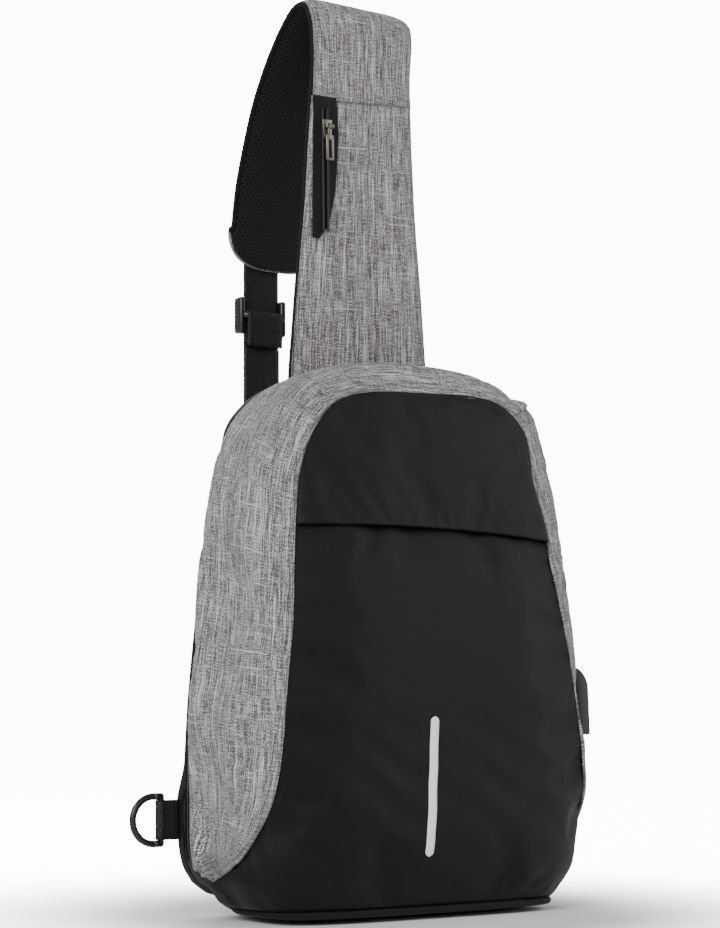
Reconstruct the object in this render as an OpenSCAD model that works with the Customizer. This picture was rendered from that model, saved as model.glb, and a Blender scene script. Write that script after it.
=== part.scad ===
// Sling bag: a soft shell with a fold-down back panel, one padded shoulder strap,
// three zips, a webbing adjuster, two side rings and a cable hood.
// Frame: origin at the middle of the base underside, +Z up, -Y the front of the bag, +X to its right.

/* [Bag body] */
// Half width of the bag at its widest
half_width_max = 120; // [110:1:130]
// Height of the bag without the strap
body_h = 324; // [316:1:332]
// How far the widest part of the front stands forward of the middle
front_reach = 54; // [48:1:58]
// How far behind the middle the main zip lies at the base
zip_plane_y = 42; // [38:1:44]
// Forward lean of the back panel and main zip, degrees
back_lean = 2.3; // [1:0.1:3]
// Wall of the shell: cloth, foam and backing together
wall = 2.6; // [2:0.1:3.2]

/* [Back panel] */
// Thickness of the padded back panel
back_thickness = 8; // [6:0.5:9]
// Height of the fold line the back panel opens about
fold_z = 8; // [7:0.5:10]

/* [Shoulder strap] */
// Width of the strap where it leaves the bag
strap_base_w = 101; // [92:1:106]
// Width of the strap at its narrowest, below the top fold
strap_neck_w = 70; // [64:1:76]
// Thickness of the padded strap
strap_t = 8; // [7:0.5:10]
// Width of all the webbing
webbing_w = 25; // [20:1:26]
// Thickness of all the webbing
webbing_t = 1.4; // [1.2:0.1:1.6]

/* [Zips] */
// Radius of one half of a coil zip
coil_r = 1; // [0.8:0.05:1.05]
// Distance of each coil half from the middle of its zip
coil_gap = 1.7; // [1.65:0.05:1.8]
// Length of a zip slider
slider_len = 11; // [9:0.5:13]

/* [Rings] */
// Radius of the bar a side ring is bent from
ring_bar_r = 1.8; // [1.6:0.1:2]
// Radius of the round end of a side ring, to the middle of its bar
ring_r = 13.7; // [13.5:0.1:14]
// Radial clearance of every pivot
pivot_gap = 0.1; // [0.05:0.01:0.1]

/* [Hidden] */
$fn = 32;

// How square the corners of the bag's level sections are (2 is an ellipse)
squareness = 4.3;
// Height of the pocket zip behind the upper front panel's hem
front_zip_z = 234;
// Vertical line that the upper webbing and the adjuster follow
webbing_x = -23;
webbing_y = 108.8;
slack_bottom_z = 305;
glide_z = 367;
// Middle of the side rings' pivots
ring_pivot = [130, 48, 57];
tab_w = 23;
// Places of the two main zip sliders on the right-hand side
upper_slider_z = 190;
lower_slider_z = 168;
main_zip_inset = 4;
strap_slider_z = 466;

// Half width of the bag at each height: [height, half width]
half_widths = [[0, 96], [11.5, 103], [23, 112.5], [34.5, 117.5], [57.5, 120], [86.5, 120], [126.5, 118.5],
               [150, 116.5], [196, 112.4], [242, 107.5], [265, 102], [288, 92], [299.5, 82],
               [307, 73], [317, 51], [324, 20]];
// Front of the bag on its middle line: [height, distance forward]
front_depths = [[0, 40], [8, 46], [23, 51.5], [57.5, 54], [129.5, 53], [171, 49.5], [219, 43],
                [251.5, 36], [288, 27], [306, 22]];
// One row per step up the right-hand side, from the bottom tip to the top middle:
// [widest X, widest Z, seam X, seam Y, seam Z]
side_rows = [[116, 28, 113.5, 13, 20], [119, 44, 115.5, -22, 42], [120, 67, 112, -41, 65.5],
             [120, 94, 108, -46, 92], [118.3, 130.5, 103.5, -45, 130.5], [114.7, 173, 98, -42.5, 171],
             [110, 223, 92, -36, 219], [104, 257, 85.5, -30, 253.5], [90.5, 289, 74.5, -23.5, 283],
             [71, 308, 59, -21.5, 299.5], [38.5, 320, 36.5, -22, 304.5], [0, 324, 0, -22, 306]];
top_row = len(side_rows) - 1;
// Row at which the side gussets end and the top gusset starts
shoulder_row = 8.45;

function mix(a, b, t) = a + (b - a) * t;
function clamp(v, low, high) = min(max(v, low), high);
function unit(v) = v / norm(v);
// A smooth curve through a list of rows, read at a fractional place in the list
function smooth_row(rows, i) =
    let (last = len(rows) - 1, k = clamp(floor(i), 0, last - 1), t = i - k,
         a = rows[max(k - 1, 0)], b = rows[k], c = rows[k + 1], d = rows[min(k + 2, last)])
    (2 * b + (c - a) * t + (2 * a - 5 * b + 4 * c - d) * t * t + (3 * b - a - 3 * c + d) * t * t * t) / 2;
function steps(low, high, count) = [for (k = [0:count]) mix(low, high, k / count)];

width_scale = half_width_max / 120;
height_scale = body_h / 324;
depth_scale = front_reach / 54;
function half_width(z) = lookup(z / height_scale, half_widths) * width_scale;
function front_depth(z) = lookup(z / height_scale, front_depths) * depth_scale;
function zip_y(z) = zip_plane_y - z * tan(back_lean);
function side_row(i) = let (r = smooth_row(side_rows, i))
    [r[0] * width_scale, r[1] * height_scale, r[2] * width_scale, r[3], r[4] * height_scale];
function widest(i) = let (r = side_row(i)) [r[0], r[1]];
function seam(i) = let (r = side_row(i)) [r[2], r[3], r[4]];

// The way into the bag from a point on its skin, which every wall takes its thickness along
function inward(p) =
    unit([clamp(p.x, -60, 60), clamp(p.y, -5, 20), clamp(p.z, 60, 248)] - p);
function shifted(p, depth) = p + inward(p) * depth;

// Angle on the level section at which the skin reaches depth y, and the section itself
function section_angle(y, z) = y < 0 ?
    asin(clamp(pow(clamp(-y / front_depth(z), 0, 1), squareness / 2), 0, 1)) : -y;
function section(angle, z) = angle >= 0 ?
    [half_width(z) * pow(max(cos(angle), 0), 2 / squareness),
     -front_depth(z) * pow(sin(angle), 2 / squareness), z] :
    [half_width(z), -angle, z];
// A point on the black front at height z: u runs from -1 at the left seam to 1 at the right one
function front_point(u, edge) =
    let (z = edge.z, last = section_angle(edge.y, z), p = section(mix(90, last, abs(u)), z),
         q = p + (edge - section(last, z)) * pow(abs(u), 4))
    [u < 0 ? -q.x : q.x, q.y, q.z];
// A point on the grey side: t runs from 0 at the front seam to 1 at the back edge
function gusset_point(i, t, side) =
    let (w = widest(i), s = seam(i), back_y = zip_y(w[1]) - 4.6, mid_y = max(0, s.y + 14),
         front_part = t < 0.6, v = front_part ? t / 0.6 : (t - 0.6) / 0.4,
         y = front_part ? mix(s.y, mid_y, v) : mix(mid_y, back_y, v),
         pull = front_part ? pow(1 - v, 4.5) : 0,
         tuck = front_part ? 0 : 1.5 * v * v,
         p = [mix(w[0], s.x, pull), y, mix(w[1], s.z, pull)],
         q = p + inward(p) * tuck)
    [side * q.x, q.y, q.z];
// A point beside the main zip: inset from the widest outline, off = distance from the zip's middle
function zip_point(i, inset, off, side) =
    let (w = widest(i), p = [w[0], zip_y(w[1]) + off, w[1]], q = p + inward([p.x, 10, p.z]) * inset)
    [side * q.x, q.y, q.z];

// A wall between two grids of points; turned says which way round the grid runs
module wall_between(outer, inner, turned = false) {
    rows = len(outer);
    cols = len(outer[0]);
    n = rows * cols;
    end_r = rows - 1;
    end_c = cols - 1;
    function at(r, c) = r * cols + c;
    skin = [for (r = [0:end_r - 1], c = [0:end_c - 1])
        [at(r, c), at(r + 1, c), at(r + 1, c + 1), at(r, c + 1)]];
    quads = concat(skin, [for (f = skin) [n + f[3], n + f[2], n + f[1], n + f[0]]],
        [for (c = [0:end_c - 1]) each
            [[at(0, c), at(0, c + 1), n + at(0, c + 1), n + at(0, c)],
             [at(end_r, c + 1), at(end_r, c), n + at(end_r, c), n + at(end_r, c + 1)]]],
        [for (r = [0:end_r - 1]) each
            [[at(r + 1, 0), at(r, 0), n + at(r, 0), n + at(r + 1, 0)],
             [at(r, end_c), at(r + 1, end_c), n + at(r + 1, end_c), n + at(r, end_c)]]]);
    triangles = [for (f = quads) each [[f[0], f[1], f[2]], [f[0], f[2], f[3]]]];
    polyhedron(concat([for (row = outer) each row], [for (row = inner) each row]),
        turned ? [for (f = triangles) [f[2], f[1], f[0]]] : triangles);
}
// A bar through a list of closed rings of points
module bar_through(rings, turned = false) {
    m = len(rings[0]);
    last = len(rings) - 1;
    sides = [for (r = [0:last - 1], c = [0:m - 1]) each
        [[r * m + c, r * m + (c + 1) % m, (r + 1) * m + (c + 1) % m],
         [r * m + c, (r + 1) * m + (c + 1) % m, (r + 1) * m + c]]];
    caps = concat([for (c = [1:m - 2]) [0, c + 1, c]],
        [for (c = [1:m - 2]) [last * m, last * m + c, last * m + c + 1]]);
    faces = concat(sides, caps);
    polyhedron([for (ring = rings) each ring], turned ? [for (f = faces) [f[2], f[1], f[0]]] : faces);
}
function round_ring(middle, across, up, r, count = 8) =
    [for (k = [0:count - 1]) middle + across * r * cos(k * 360 / count) + up * r * sin(k * 360 / count)];
function flat_ring(middle, across, up, w, t) =
    [middle - across * w / 2 - up * t / 2, middle + across * w / 2 - up * t / 2,
     middle + across * w / 2 + up * t / 2, middle - across * w / 2 + up * t / 2];

// ---- black front ----
// Seam point continued straight down below the grey tip, to the bottom of the lower panel
function low_seam(z) = [seam(0).x * half_width(z) / half_width(seam(0).z), seam(0).y, z];
lower_edges = concat([for (z = [8.2, 12, 15.6]) low_seam(z)], [for (i = steps(0, 6.2, 17)) seam(i)]);
across_steps = steps(-1, 1, 26);
module front_lower_panel() color([0.13, 0.13, 0.14])
    wall_between([for (e = lower_edges) [for (u = across_steps) front_point(u, e)]],
                 [for (e = lower_edges) [for (u = across_steps) shifted(front_point(u, e), wall)]], true);

// The upper panel stands proud at its hem, to cover the lower panel's edge and the zip
function hem_lift(z) = lookup(z, [[244, 2.4], [258, 0]]);
function hem_wall(z) = lookup(z, [[244, 1.2], [258, wall]]);
upper_edges = [for (i = steps(6.12, 10.86, 16)) seam(i)];
module front_upper_panel() color([0.16, 0.16, 0.17])
    wall_between([for (e = upper_edges) [for (u = across_steps) shifted(front_point(u, e), -hem_lift(e.z))]],
                 [for (e = upper_edges) [for (u = across_steps)
                     shifted(front_point(u, e), hem_wall(e.z) - hem_lift(e.z))]], true);

module reflective_strip() color([0.9, 0.9, 0.92])
    wall_between([for (z = steps(37, 117, 8)) [for (x = [-11, -5]) [x, -front_depth(z) - 0.7, z]]],
                 [for (z = steps(37, 117, 8)) [for (x = [-11, -5]) [x, -front_depth(z) - 0.15, z]]], true);

// ---- grey sides and top ----
module gusset(from, to, count, side)
    wall_between([for (i = steps(from, to, count)) [for (t = steps(0.004, 1, 10)) gusset_point(i, t, side)]],
                 [for (i = steps(from, to, count)) [for (t = steps(0.004, 1, 10))
                     shifted(gusset_point(i, t, side), wall)]], side < 0);
module left_gusset() color([0.58, 0.57, 0.58]) gusset(0.03, shoulder_row, 22, -1);
module right_gusset() color([0.58, 0.57, 0.58]) gusset(0.03, shoulder_row, 22, 1);

// Steps over the top from the left shoulder to the right one: [row, side]
top_steps = concat([for (i = steps(shoulder_row + 0.02, top_row, 7)) [i, -1]],
                   [for (i = steps(top_row - 0.36, shoulder_row + 0.02, 6)) [i, 1]]);
module top_gusset() color([0.6, 0.59, 0.6])
    wall_between([for (s = top_steps) [for (t = steps(0.004, 1, 10)) gusset_point(s[0], t, s[1])]],
                 [for (s = top_steps) [for (t = steps(0.004, 1, 10))
                     shifted(gusset_point(s[0], t, s[1]), wall)]], true);

// Steps round the whole perimeter from one bottom end to the other: [row, side]
function perimeter(from, count) =
    concat([for (i = steps(from, top_row, count)) [i, -1]],
           [for (k = [count - 1:-1:0]) [mix(from, top_row, k / count), 1]]);
lining_steps = perimeter(1, 20);
function lining_point(s, t, depth) =
    let (front = gusset_point(s[0], 0.12, s[1]), y = mix(front.y, zip_y(front.z) - 12, t),
         w = widest(s[0]), p = [s[1] * w[0], y, w[1]])
    shifted(p, depth + 6 * pow(1 - t, 3));
module gusset_lining() color([0.25, 0.25, 0.27])
    wall_between([for (s = lining_steps) [for (t = steps(0, 1, 5)) lining_point(s, t, wall + 1.4)]],
                 [for (s = lining_steps) [for (t = steps(0, 1, 5)) lining_point(s, t, wall + 2)]], true);

// ---- base ----
// Half of the level outline of the base at height z, from the front middle to the back corner
function base_half(z, grow) =
    concat([for (a = steps(90, 0, 14)) let (p = section(a, z)) [p.x + grow * cos(a), p.y - grow * sin(a)]],
           [[half_width(z) + grow, 20], [half_width(z) - 4 + grow, zip_y(0) - 2],
            [half_width(z) - 12 + grow, zip_y(0) + 1]]);
function base_outline(z, grow) = let (half = base_half(z, grow))
    concat(half, [for (k = [len(half) - 1:-1:1]) [-half[k][0], half[k][1]]]);
module base_panel() color([0.1, 0.1, 0.11]) linear_extrude(3) polygon(base_outline(0, 0));
module base_board() color([0.2, 0.2, 0.2])
    translate([0, 0, 3.3]) linear_extrude(1.8) polygon(base_outline(0, -8));

cheek_heights = [3.3, 8, 13, 18, 22.5];
function cheek_point(y, z) =
    [half_width(z) - 1.2 * pow(clamp((y - 20) / 18, 0, 1), 2), y, z + (z > 20 ? (y - 13.6) * 0.15 : 0)];
module base_cheek(side)
    wall_between([for (z = cheek_heights) [for (y = steps(13.6, 37, 5))
                     let (p = cheek_point(y, z)) [side * p.x, p.y, p.z]]],
                 [for (z = cheek_heights) [for (y = steps(13.6, 37, 5))
                     let (p = cheek_point(y, z)) shifted([side * p.x, p.y, p.z], wall)]], side < 0);
module left_base_cheek() color([0.11, 0.11, 0.12]) base_cheek(-1);
module right_base_cheek() color([0.11, 0.11, 0.12]) base_cheek(1);

piping_z = 5.6;
piping_r = 2.1;
piping_steps = concat(steps(-12, 80, 18), [86, 90, 94], steps(100, 192, 18));
module base_piping() color([0.09, 0.09, 0.1])
    bar_through([for (a = piping_steps)
        let (s = a > 90 ? -1 : 1, b = a > 90 ? 180 - a : a, p = section(b, piping_z),
             away = unit([p.x * s / 97, p.y / 46, 0]))
        round_ring([s * p.x, p.y, piping_z], away, [0, 0, 1], piping_r)], true);

// ---- zips: x across the chain, y outward, z along it ----
module coil_pair(len) for (x = [-coil_gap, coil_gap])
    translate([x, 0, -len / 2]) cylinder(h = len, r = coil_r);
crown_y = 4.4;
crown_r = 0.8;
module slider_wing(thick) rotate([90, 0, 0]) translate([0, 0, -thick]) linear_extrude(thick)
    polygon([[-2.6, -slider_len / 2], [2.6, -slider_len / 2], [3, -1], [4, 2.5], [3.6, slider_len / 2],
             [-3.6, slider_len / 2], [-4, 2.5], [-3, -1]]);
module slider() {
    translate([0, 1.3, 0]) slider_wing(1);
    translate([0, -2.3, 0]) slider_wing(1);
    translate([-0.5, -2, slider_len / 2 - 3]) cube([1, 4, 2.6]);
    for (x = [-2.9, 1.7]) translate([x, 2, -0.2]) cube([1.2, crown_y - 1, 2.4]);
    translate([-2.9, crown_y, 1]) rotate([0, 90, 0]) cylinder(h = 5.8, r = crown_r);
}
// A framed pull tab that hangs from the slider's crown bar
module pull(len = 17, frame_w = 5.6) difference() {
    union() {
        translate([-1.5, crown_y, 1]) rotate([0, 90, 0]) cylinder(h = 3, r = 1.9);
        translate([-1.2, crown_y - 0.6, -5]) cube([2.4, 1.2, 5.2]);
        translate([-frame_w / 2, crown_y - 0.6, -len]) cube([frame_w, 1.2, len - 4]);
    }
    translate([-2, crown_y, 1]) rotate([0, 90, 0]) cylinder(h = 4, r = crown_r + pivot_gap);
    translate([-frame_w / 2 + 1.1, crown_y - 2, -len + 1.2]) cube([frame_w - 2.2, 4, len - 7]);
}

// Front pocket zip, lying along X under the hem, its chain sunk inside the skin
front_slope = atan((front_depth(219) - front_depth(251.5)) / 32.5);
module at_front_zip(x) translate([x, -front_depth(front_zip_z), front_zip_z]) rotate([-front_slope, 0, 0])
    translate([0, 5.6, 0]) rotate([0, 90, 0]) rotate([0, 0, 180]) children();
module front_zip_coil() color([0.08, 0.08, 0.08]) at_front_zip(0) coil_pair(132);
module front_zip_tapes() color([0.1, 0.1, 0.1]) at_front_zip(0)
    for (s = [-1, 1])
        translate([s * (coil_gap + coil_r + 0.15) - (s < 0 ? 6 : 0), -1.2, -67]) cube([6, 0.7, 134]);
module front_zip_slider() color([0.45, 0.44, 0.42]) at_front_zip(15) translate([0, -0.3, 0]) slider();
module front_zip_pull() color([0.45, 0.44, 0.42]) at_front_zip(15) translate([0, -0.3, 0]) pull(12, 5);

// Main zip: both tapes and coil halves follow the perimeter
main_steps = perimeter(0.35, 24);
module main_tape(low, high, inset)
    wall_between([for (s = main_steps) [for (off = [low, high]) zip_point(s[0], inset - 0.3, off, s[1])]],
                 [for (s = main_steps) [for (off = [low, high]) zip_point(s[0], inset + 0.3, off, s[1])]],
                 true);
module main_coil(off)
    bar_through([for (s = main_steps) let (p = zip_point(s[0], main_zip_inset, off, s[1]))
        round_ring(p, [0, 1, 0], inward([p.x, 10, p.z]), coil_r, 6)], true);
module main_zip_shell_tape() color([0.1, 0.1, 0.1])
    main_tape(-10, -coil_gap - coil_r - 0.2, main_zip_inset + 0.95);
module main_zip_shell_coil() color([0.08, 0.08, 0.08]) main_coil(-coil_gap);
module main_zip_panel_tape() color([0.1, 0.1, 0.1]) main_tape(coil_gap + coil_r + 0.2, 4.3, main_zip_inset);
module main_zip_panel_coil() color([0.08, 0.08, 0.08]) main_coil(coil_gap);

// The right-hand run is close to straight between the two sliders' limits
run_low = zip_point(4.2, main_zip_inset, 0, 1);
run_high = zip_point(6, main_zip_inset, 0, 1);
run_dir = unit(run_high - run_low);
function run_at(z) = run_low + run_dir * (z - run_low.z) / run_dir.z;
module at_run(z) translate(run_at(z)) rotate([back_lean, -atan(-run_dir.x / run_dir.z), 0])
    rotate([0, 0, -90]) children();
module upper_zip_slider() color([0.45, 0.44, 0.42]) at_run(upper_slider_z) slider();
module upper_zip_pull() color([0.45, 0.44, 0.42]) at_run(upper_slider_z) pull();
module lower_zip_slider() color([0.45, 0.44, 0.42]) at_run(lower_slider_z) mirror([0, 0, 1]) slider();
module lower_zip_pull() color([0.45, 0.44, 0.42]) at_run(lower_slider_z) translate([0, 0, -2]) pull();

// ---- back panel and what rides on it ----
module leaned(y) translate([0, zip_plane_y, 0]) rotate([back_lean, 0, 0]) translate([0, y, 0]) children();
function back_outline(inset) =
    let (half = [for (i = steps(0.3, top_row - 0.4, 18))
             let (w = widest(i)) [w[0] - inset, w[1] - inset * 0.6]],
         low = [[84 - inset, 9 + inset / 2], [98 - inset, 12 + inset / 2], [108 - inset, 19 + inset / 2]],
         right = concat(low, half))
    concat(right, [for (k = [len(right) - 1:-1:0]) [-right[k][0], right[k][1]]]);
module upright_plate(y, thick, outline)
    leaned(y + thick) rotate([90, 0, 0]) linear_extrude(thick) polygon(outline);
module back_panel() color([0.12, 0.12, 0.13]) upright_plate(4.6, back_thickness, back_outline(2));
module back_board() color([0.3, 0.3, 0.3]) upright_plate(2.8, 1.5, back_outline(12));
module tablet_sleeve() color([0.22, 0.22, 0.24])
    upright_plate(0.8, 1.6, [[-84, 22], [84, 22], [84, 232], [-84, 232]]);
module hinge_strip() color([0.1, 0.1, 0.11]) translate([-80, zip_plane_y + 1.6, 3]) cube([160, 1.2, 4.6]);

// Strap: straight up the front leg, over the fold and down the back leg; points are [Y, Z]
strap_path = [[37.6, 323.5], [36, 375], [34.4, 422], [32.8, 466], [31.4, 505], [31.2, 526], [35, 538.5],
              [45, 539.5], [57, 530], [71, 512], [83, 491], [92, 467], [99, 443], [104.5, 419], [107.5, 397]];
strap_last = len(strap_path) - 1;
function strap_yz(i) = smooth_row(strap_path, i);
function strap_x(i) = lookup(i, [[0, 3], [3, 0], [5, 0], [8, -5], [strap_last, -14]]);
function strap_w(i) = lookup(i, [[0, strap_base_w], [2, 81], [4, strap_neck_w], [6, 76], [9, 75],
    [12, 73], [13.2, 68], [13.7, 58], [strap_last, 36]]);
function strap_dir(i) = unit(strap_yz(min(i + 0.05, strap_last)) - strap_yz(max(i - 0.05, 0)));
// A layer of the strap between two distances from its middle, outer side negative
module strap_layer(low, high, trim)
    bar_through([for (i = steps(0, strap_last, 42))
        let (p = strap_yz(i), d = strap_dir(i), up = [0, d[1], -d[0]], middle = [strap_x(i), p[0], p[1]])
        flat_ring(middle + up * (low + high) / 2, [1, 0, 0], up, strap_w(i) - trim, high - low)], true);
half_strap = strap_t / 2;
module strap_face() color([0.58, 0.57, 0.58]) strap_layer(-half_strap, -half_strap + 1.2, 0);
module strap_foam() color([0.3, 0.3, 0.3]) strap_layer(-half_strap + 1.4, half_strap - 2, 3);
module strap_mesh() color([0.1, 0.1, 0.1]) strap_layer(half_strap - 1.8, half_strap, 0.6);

// Strap pocket, laid on the face of the front leg: local x across the strap, y outward, z up
leg_lean = atan((37.6 - 32.8) / (466 - 323.5));
pocket_turn = 2;
strap_zip_rise = 3.4;
module at_strap_zip(z) translate([-30.6, strap_yz(3)[0] - half_strap - 0.3, strap_slider_z])
    rotate([leg_lean, 0, 0]) rotate([0, -pocket_turn, 0]) translate([0, 0, z - strap_slider_z])
    rotate([0, 0, 180]) children();
module strap_pocket_insert() color([0.08, 0.08, 0.08]) at_strap_zip(strap_slider_z)
    translate([0, 0.8, 0]) rotate([90, 0, 0]) linear_extrude(0.8)
    polygon([[4.4, 19], [-10, 19], [-11, 0], [-10, -18], [-7, -34], [-2, -52], [1, -62], [3.4, -63],
             [4.4, -50]]);
module strap_zip_coil() color([0.08, 0.08, 0.08])
    at_strap_zip(strap_slider_z - 24) translate([0, strap_zip_rise, 0]) coil_pair(72);
module strap_zip_slider() color([0.5, 0.49, 0.46])
    at_strap_zip(strap_slider_z) translate([0, strap_zip_rise, 0]) slider();
module strap_zip_pull() color([0.5, 0.49, 0.46])
    at_strap_zip(strap_slider_z) translate([0, strap_zip_rise, 0]) pull(19);

// Hook frame: its z runs up the shank, its y lies along the ring's bar where they meet
hook_z = [-0.6, 0.5657, 0.5657];
hook_y = [0, -0.7071, 0.7071];
hook_x = cross(hook_y, hook_z);
ring_hold = ring_pivot + [0, 4.7 + ring_r * cos(45), ring_r * sin(45)];
hook_middle = ring_hold + hook_z * 3.8;
eye_bar_z = 34;
eye_bar = hook_middle + hook_z * eye_bar_z;
module at_hook() multmatrix([[hook_x.x, hook_y.x, hook_z.x, hook_middle.x],
    [hook_x.y, hook_y.y, hook_z.y, hook_middle.y], [hook_x.z, hook_y.z, hook_z.z, hook_middle.z],
    [0, 0, 0, 1]]) children();

// Webbing: middle line between its two layers, from the hook's eye up to the straight stretch
webbing_path = [eye_bar, eye_bar + hook_z * 8, eye_bar + hook_z * 18, [72, 108, 138],
                [36, 113, 184], [3, 112, 232],
                [-18, 110, 272], [webbing_x, webbing_y, slack_bottom_z]];
webbing_last = len(webbing_path) - 1;
function webbing_dir(i) =
    unit(smooth_row(webbing_path, min(i + 0.05, webbing_last)) - smooth_row(webbing_path, max(i - 0.05, 0)));
function webbing_ring(i, way) =
    let (p = smooth_row(webbing_path, i), d = i > webbing_last - 0.1 ? [0, 0, 1] : webbing_dir(i),
         across = unit([1, 0, 0] - d * d.x), out = cross(across, d),
         gap = lookup(i, [[0, 3.4], [0.5, 3], [2, 1.2]]))
    flat_ring(p - out * way * gap, across, out, webbing_w, webbing_t);
main_top = [for (z = [395, 360])
    flat_ring([webbing_x, webbing_y + 1.2, z], [1, 0, 0], [0, -1, 0], webbing_w, webbing_t)];
module webbing() color([0.09, 0.09, 0.1]) {
    bar_through(concat(main_top, [for (i = steps(webbing_last, 0, 28)) webbing_ring(i, 1)]), true);
    bar_through([for (i = steps(webbing_last, 0, 28)) webbing_ring(i, -1)], true);
}
module webbing_slack() color([0.09, 0.09, 0.1])
    translate([webbing_x - webbing_w / 2, webbing_y - 1.2 - webbing_t / 2, slack_bottom_z + 0.2])
    cube([webbing_w, webbing_t, glide_z - 20 - slack_bottom_z]);

// Adjuster: middle bar in front of the main run, end bars behind it
glide_bar = [webbing_x, webbing_y - 3.1, glide_z];
module lying_bar(r, len) rotate([0, 90, 0]) translate([0, 0, -len / 2]) cylinder(h = len, r = r);
module tri_glide() color([0.06, 0.06, 0.06]) translate(glide_bar) {
    lying_bar(1.8, 30);
    for (z = [-9.4, 9.4]) translate([0, 6.8, z]) lying_bar(1.6, 30);
    for (s = [-1, 1]) translate([s * 14.9, 0, 0]) rotate([0, 90, 0]) translate([0, 0, -1.7])
        linear_extrude(3.4) polygon([[-11, 5], [-11, 8.6], [11, 8.6], [11, 5], [4, -2.2], [-4, -2.2]]);
}
module webbing_end_loop() color([0.09, 0.09, 0.1]) translate(glide_bar) difference() {
    union() {
        lying_bar(3.2, webbing_w);
        translate([-webbing_w / 2, -0.4, -19]) cube([webbing_w, 3, 19]);
    }
    lying_bar(1.8 + pivot_gap, webbing_w + 1);
}

// ---- side rings ----
module side_ring() {
    translate([0, 0, -ring_r]) cylinder(h = 2 * ring_r, r = ring_bar_r);
    for (z = [-ring_r, ring_r]) {
        translate([0, 0, z]) sphere(r = ring_bar_r);
        translate([0, 0, z]) rotate([0, 90, 0]) cylinder(h = 4.7, r = ring_bar_r);
    }
    translate([4.7, 0, 0]) rotate([90, 0, 0]) rotate([0, 0, -90]) rotate_extrude(angle = 180)
        translate([ring_r, 0]) circle(r = ring_bar_r);
}
module ring_tab() difference() {
    union() {
        translate([0, 0, -tab_w / 2]) cylinder(h = tab_w, r = 3.4);
        translate([-11.8, -1.7, -tab_w / 2]) cube([11.8, 3.4, tab_w]);
    }
    translate([0, 0, -tab_w]) cylinder(h = 2 * tab_w, r = ring_bar_r + pivot_gap);
}
left_pivot = [-ring_pivot.x, ring_pivot.y, ring_pivot.z];
module left_ring_tab() color([0.09, 0.09, 0.1]) translate(left_pivot) rotate([0, 0, 180]) ring_tab();
module left_ring() color([0.08, 0.08, 0.08]) translate(left_pivot) rotate([0, 0, 180]) side_ring();
module right_ring_tab() color([0.09, 0.09, 0.1]) translate(ring_pivot) ring_tab();
module right_ring() color([0.08, 0.08, 0.08]) translate(ring_pivot) rotate([0, 0, 90]) side_ring();

// ---- hook at the free end of the webbing ----
gate_pivot = [-4.6, 0, 10];
module swivel_hook() color([0.08, 0.08, 0.08]) at_hook() {
    rotate([90, 0, 0]) rotate([0, 0, -180]) rotate_extrude(angle = 270) translate([8, 0]) circle(r = 2);
    translate([0, 0, 8]) cylinder(h = 6.5, r = 2.6);
    for (y = [-2.9, 1.6]) translate([-6.4, y, 8.4]) cube([6.4, 1.3, 3.6]);
    translate([gate_pivot.x, -2.9, gate_pivot.z]) rotate([-90, 0, 0]) cylinder(h = 5.8, r = 0.9);
    translate([0, 0, 14]) cylinder(h = 8.6, r = 1.6);
    translate([0, 0, 22.4]) cylinder(h = 1.6, r = 2.8);
}
module hook_gate() color([0.15, 0.15, 0.15]) at_hook() difference() {
    union() {
        translate([gate_pivot.x, -1.3, gate_pivot.z]) rotate([-90, 0, 0]) cylinder(h = 2.6, r = 1.9);
        translate(gate_pivot) rotate([0, 203, 0]) cylinder(h = 7.6, r = 1.1);
    }
    translate([gate_pivot.x, -3, gate_pivot.z]) rotate([-90, 0, 0]) cylinder(h = 6, r = 0.9 + pivot_gap);
}
eye_half = webbing_w / 2 + 3;
module hook_eye() color([0.08, 0.08, 0.08]) at_hook() difference() {
    union() {
        translate([-eye_half, -3.4, 16]) cube([2 * eye_half, 6.8, 5]);
        for (s = [-1, 1]) translate([s * eye_half - 1.7, -2, 16]) cube([3.4, 4, eye_bar_z - 14]);
        translate([0, 0, eye_bar_z]) lying_bar(2, 2 * eye_half);
    }
    translate([0, 0, 10]) cylinder(h = 12, r = 1.6 + pivot_gap);
}

// ---- cable hood on the right-hand side ----
hood_y = [-28, 0];
hood_z = [105, 147];
hood_tilt = 3.2;
module at_hood() translate([120.4 * width_scale, 0, hood_z[0]]) rotate([0, -hood_tilt, 0]) children();
module hood_profile(inset) {
    w = hood_y[1] - hood_y[0] - 2 * inset;
    h = hood_z[1] - hood_z[0] - inset;
    translate([(hood_y[0] + hood_y[1]) / 2 - w / 2, 0]) square([w, h - w / 2]);
    translate([(hood_y[0] + hood_y[1]) / 2, h - w / 2]) circle(d = w);
}
// A level profile (Y, Z) pushed out along +X
module pushed_out(from, to) translate([from, 0, 0]) rotate([90, 0, 90]) linear_extrude(to - from) children();
module cable_hood() color([0.14, 0.14, 0.15]) at_hood() difference() {
    pushed_out(0, 11.4) hood_profile(0);
    translate([0, 0, -0.1]) pushed_out(1.6, 9.8) hood_profile(2);
}
socket_x = 5.7;
socket_y = (hood_y[0] + hood_y[1]) / 2;
module cable_socket() color([0.7, 0.7, 0.72]) at_hood() translate([socket_x, socket_y, 18]) difference() {
    translate([-2.9, -6.6, 0]) cube([5.8, 13.2, 14]);
    translate([-2.5, -6.2, -1]) cube([5, 12.4, 13.6]);
}
module socket_tongue() color([0.95, 0.95, 0.95]) at_hood() translate([socket_x - 2.3, socket_y - 5.6, 21])
    cube([1.7, 11.2, 9.5]);

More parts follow.
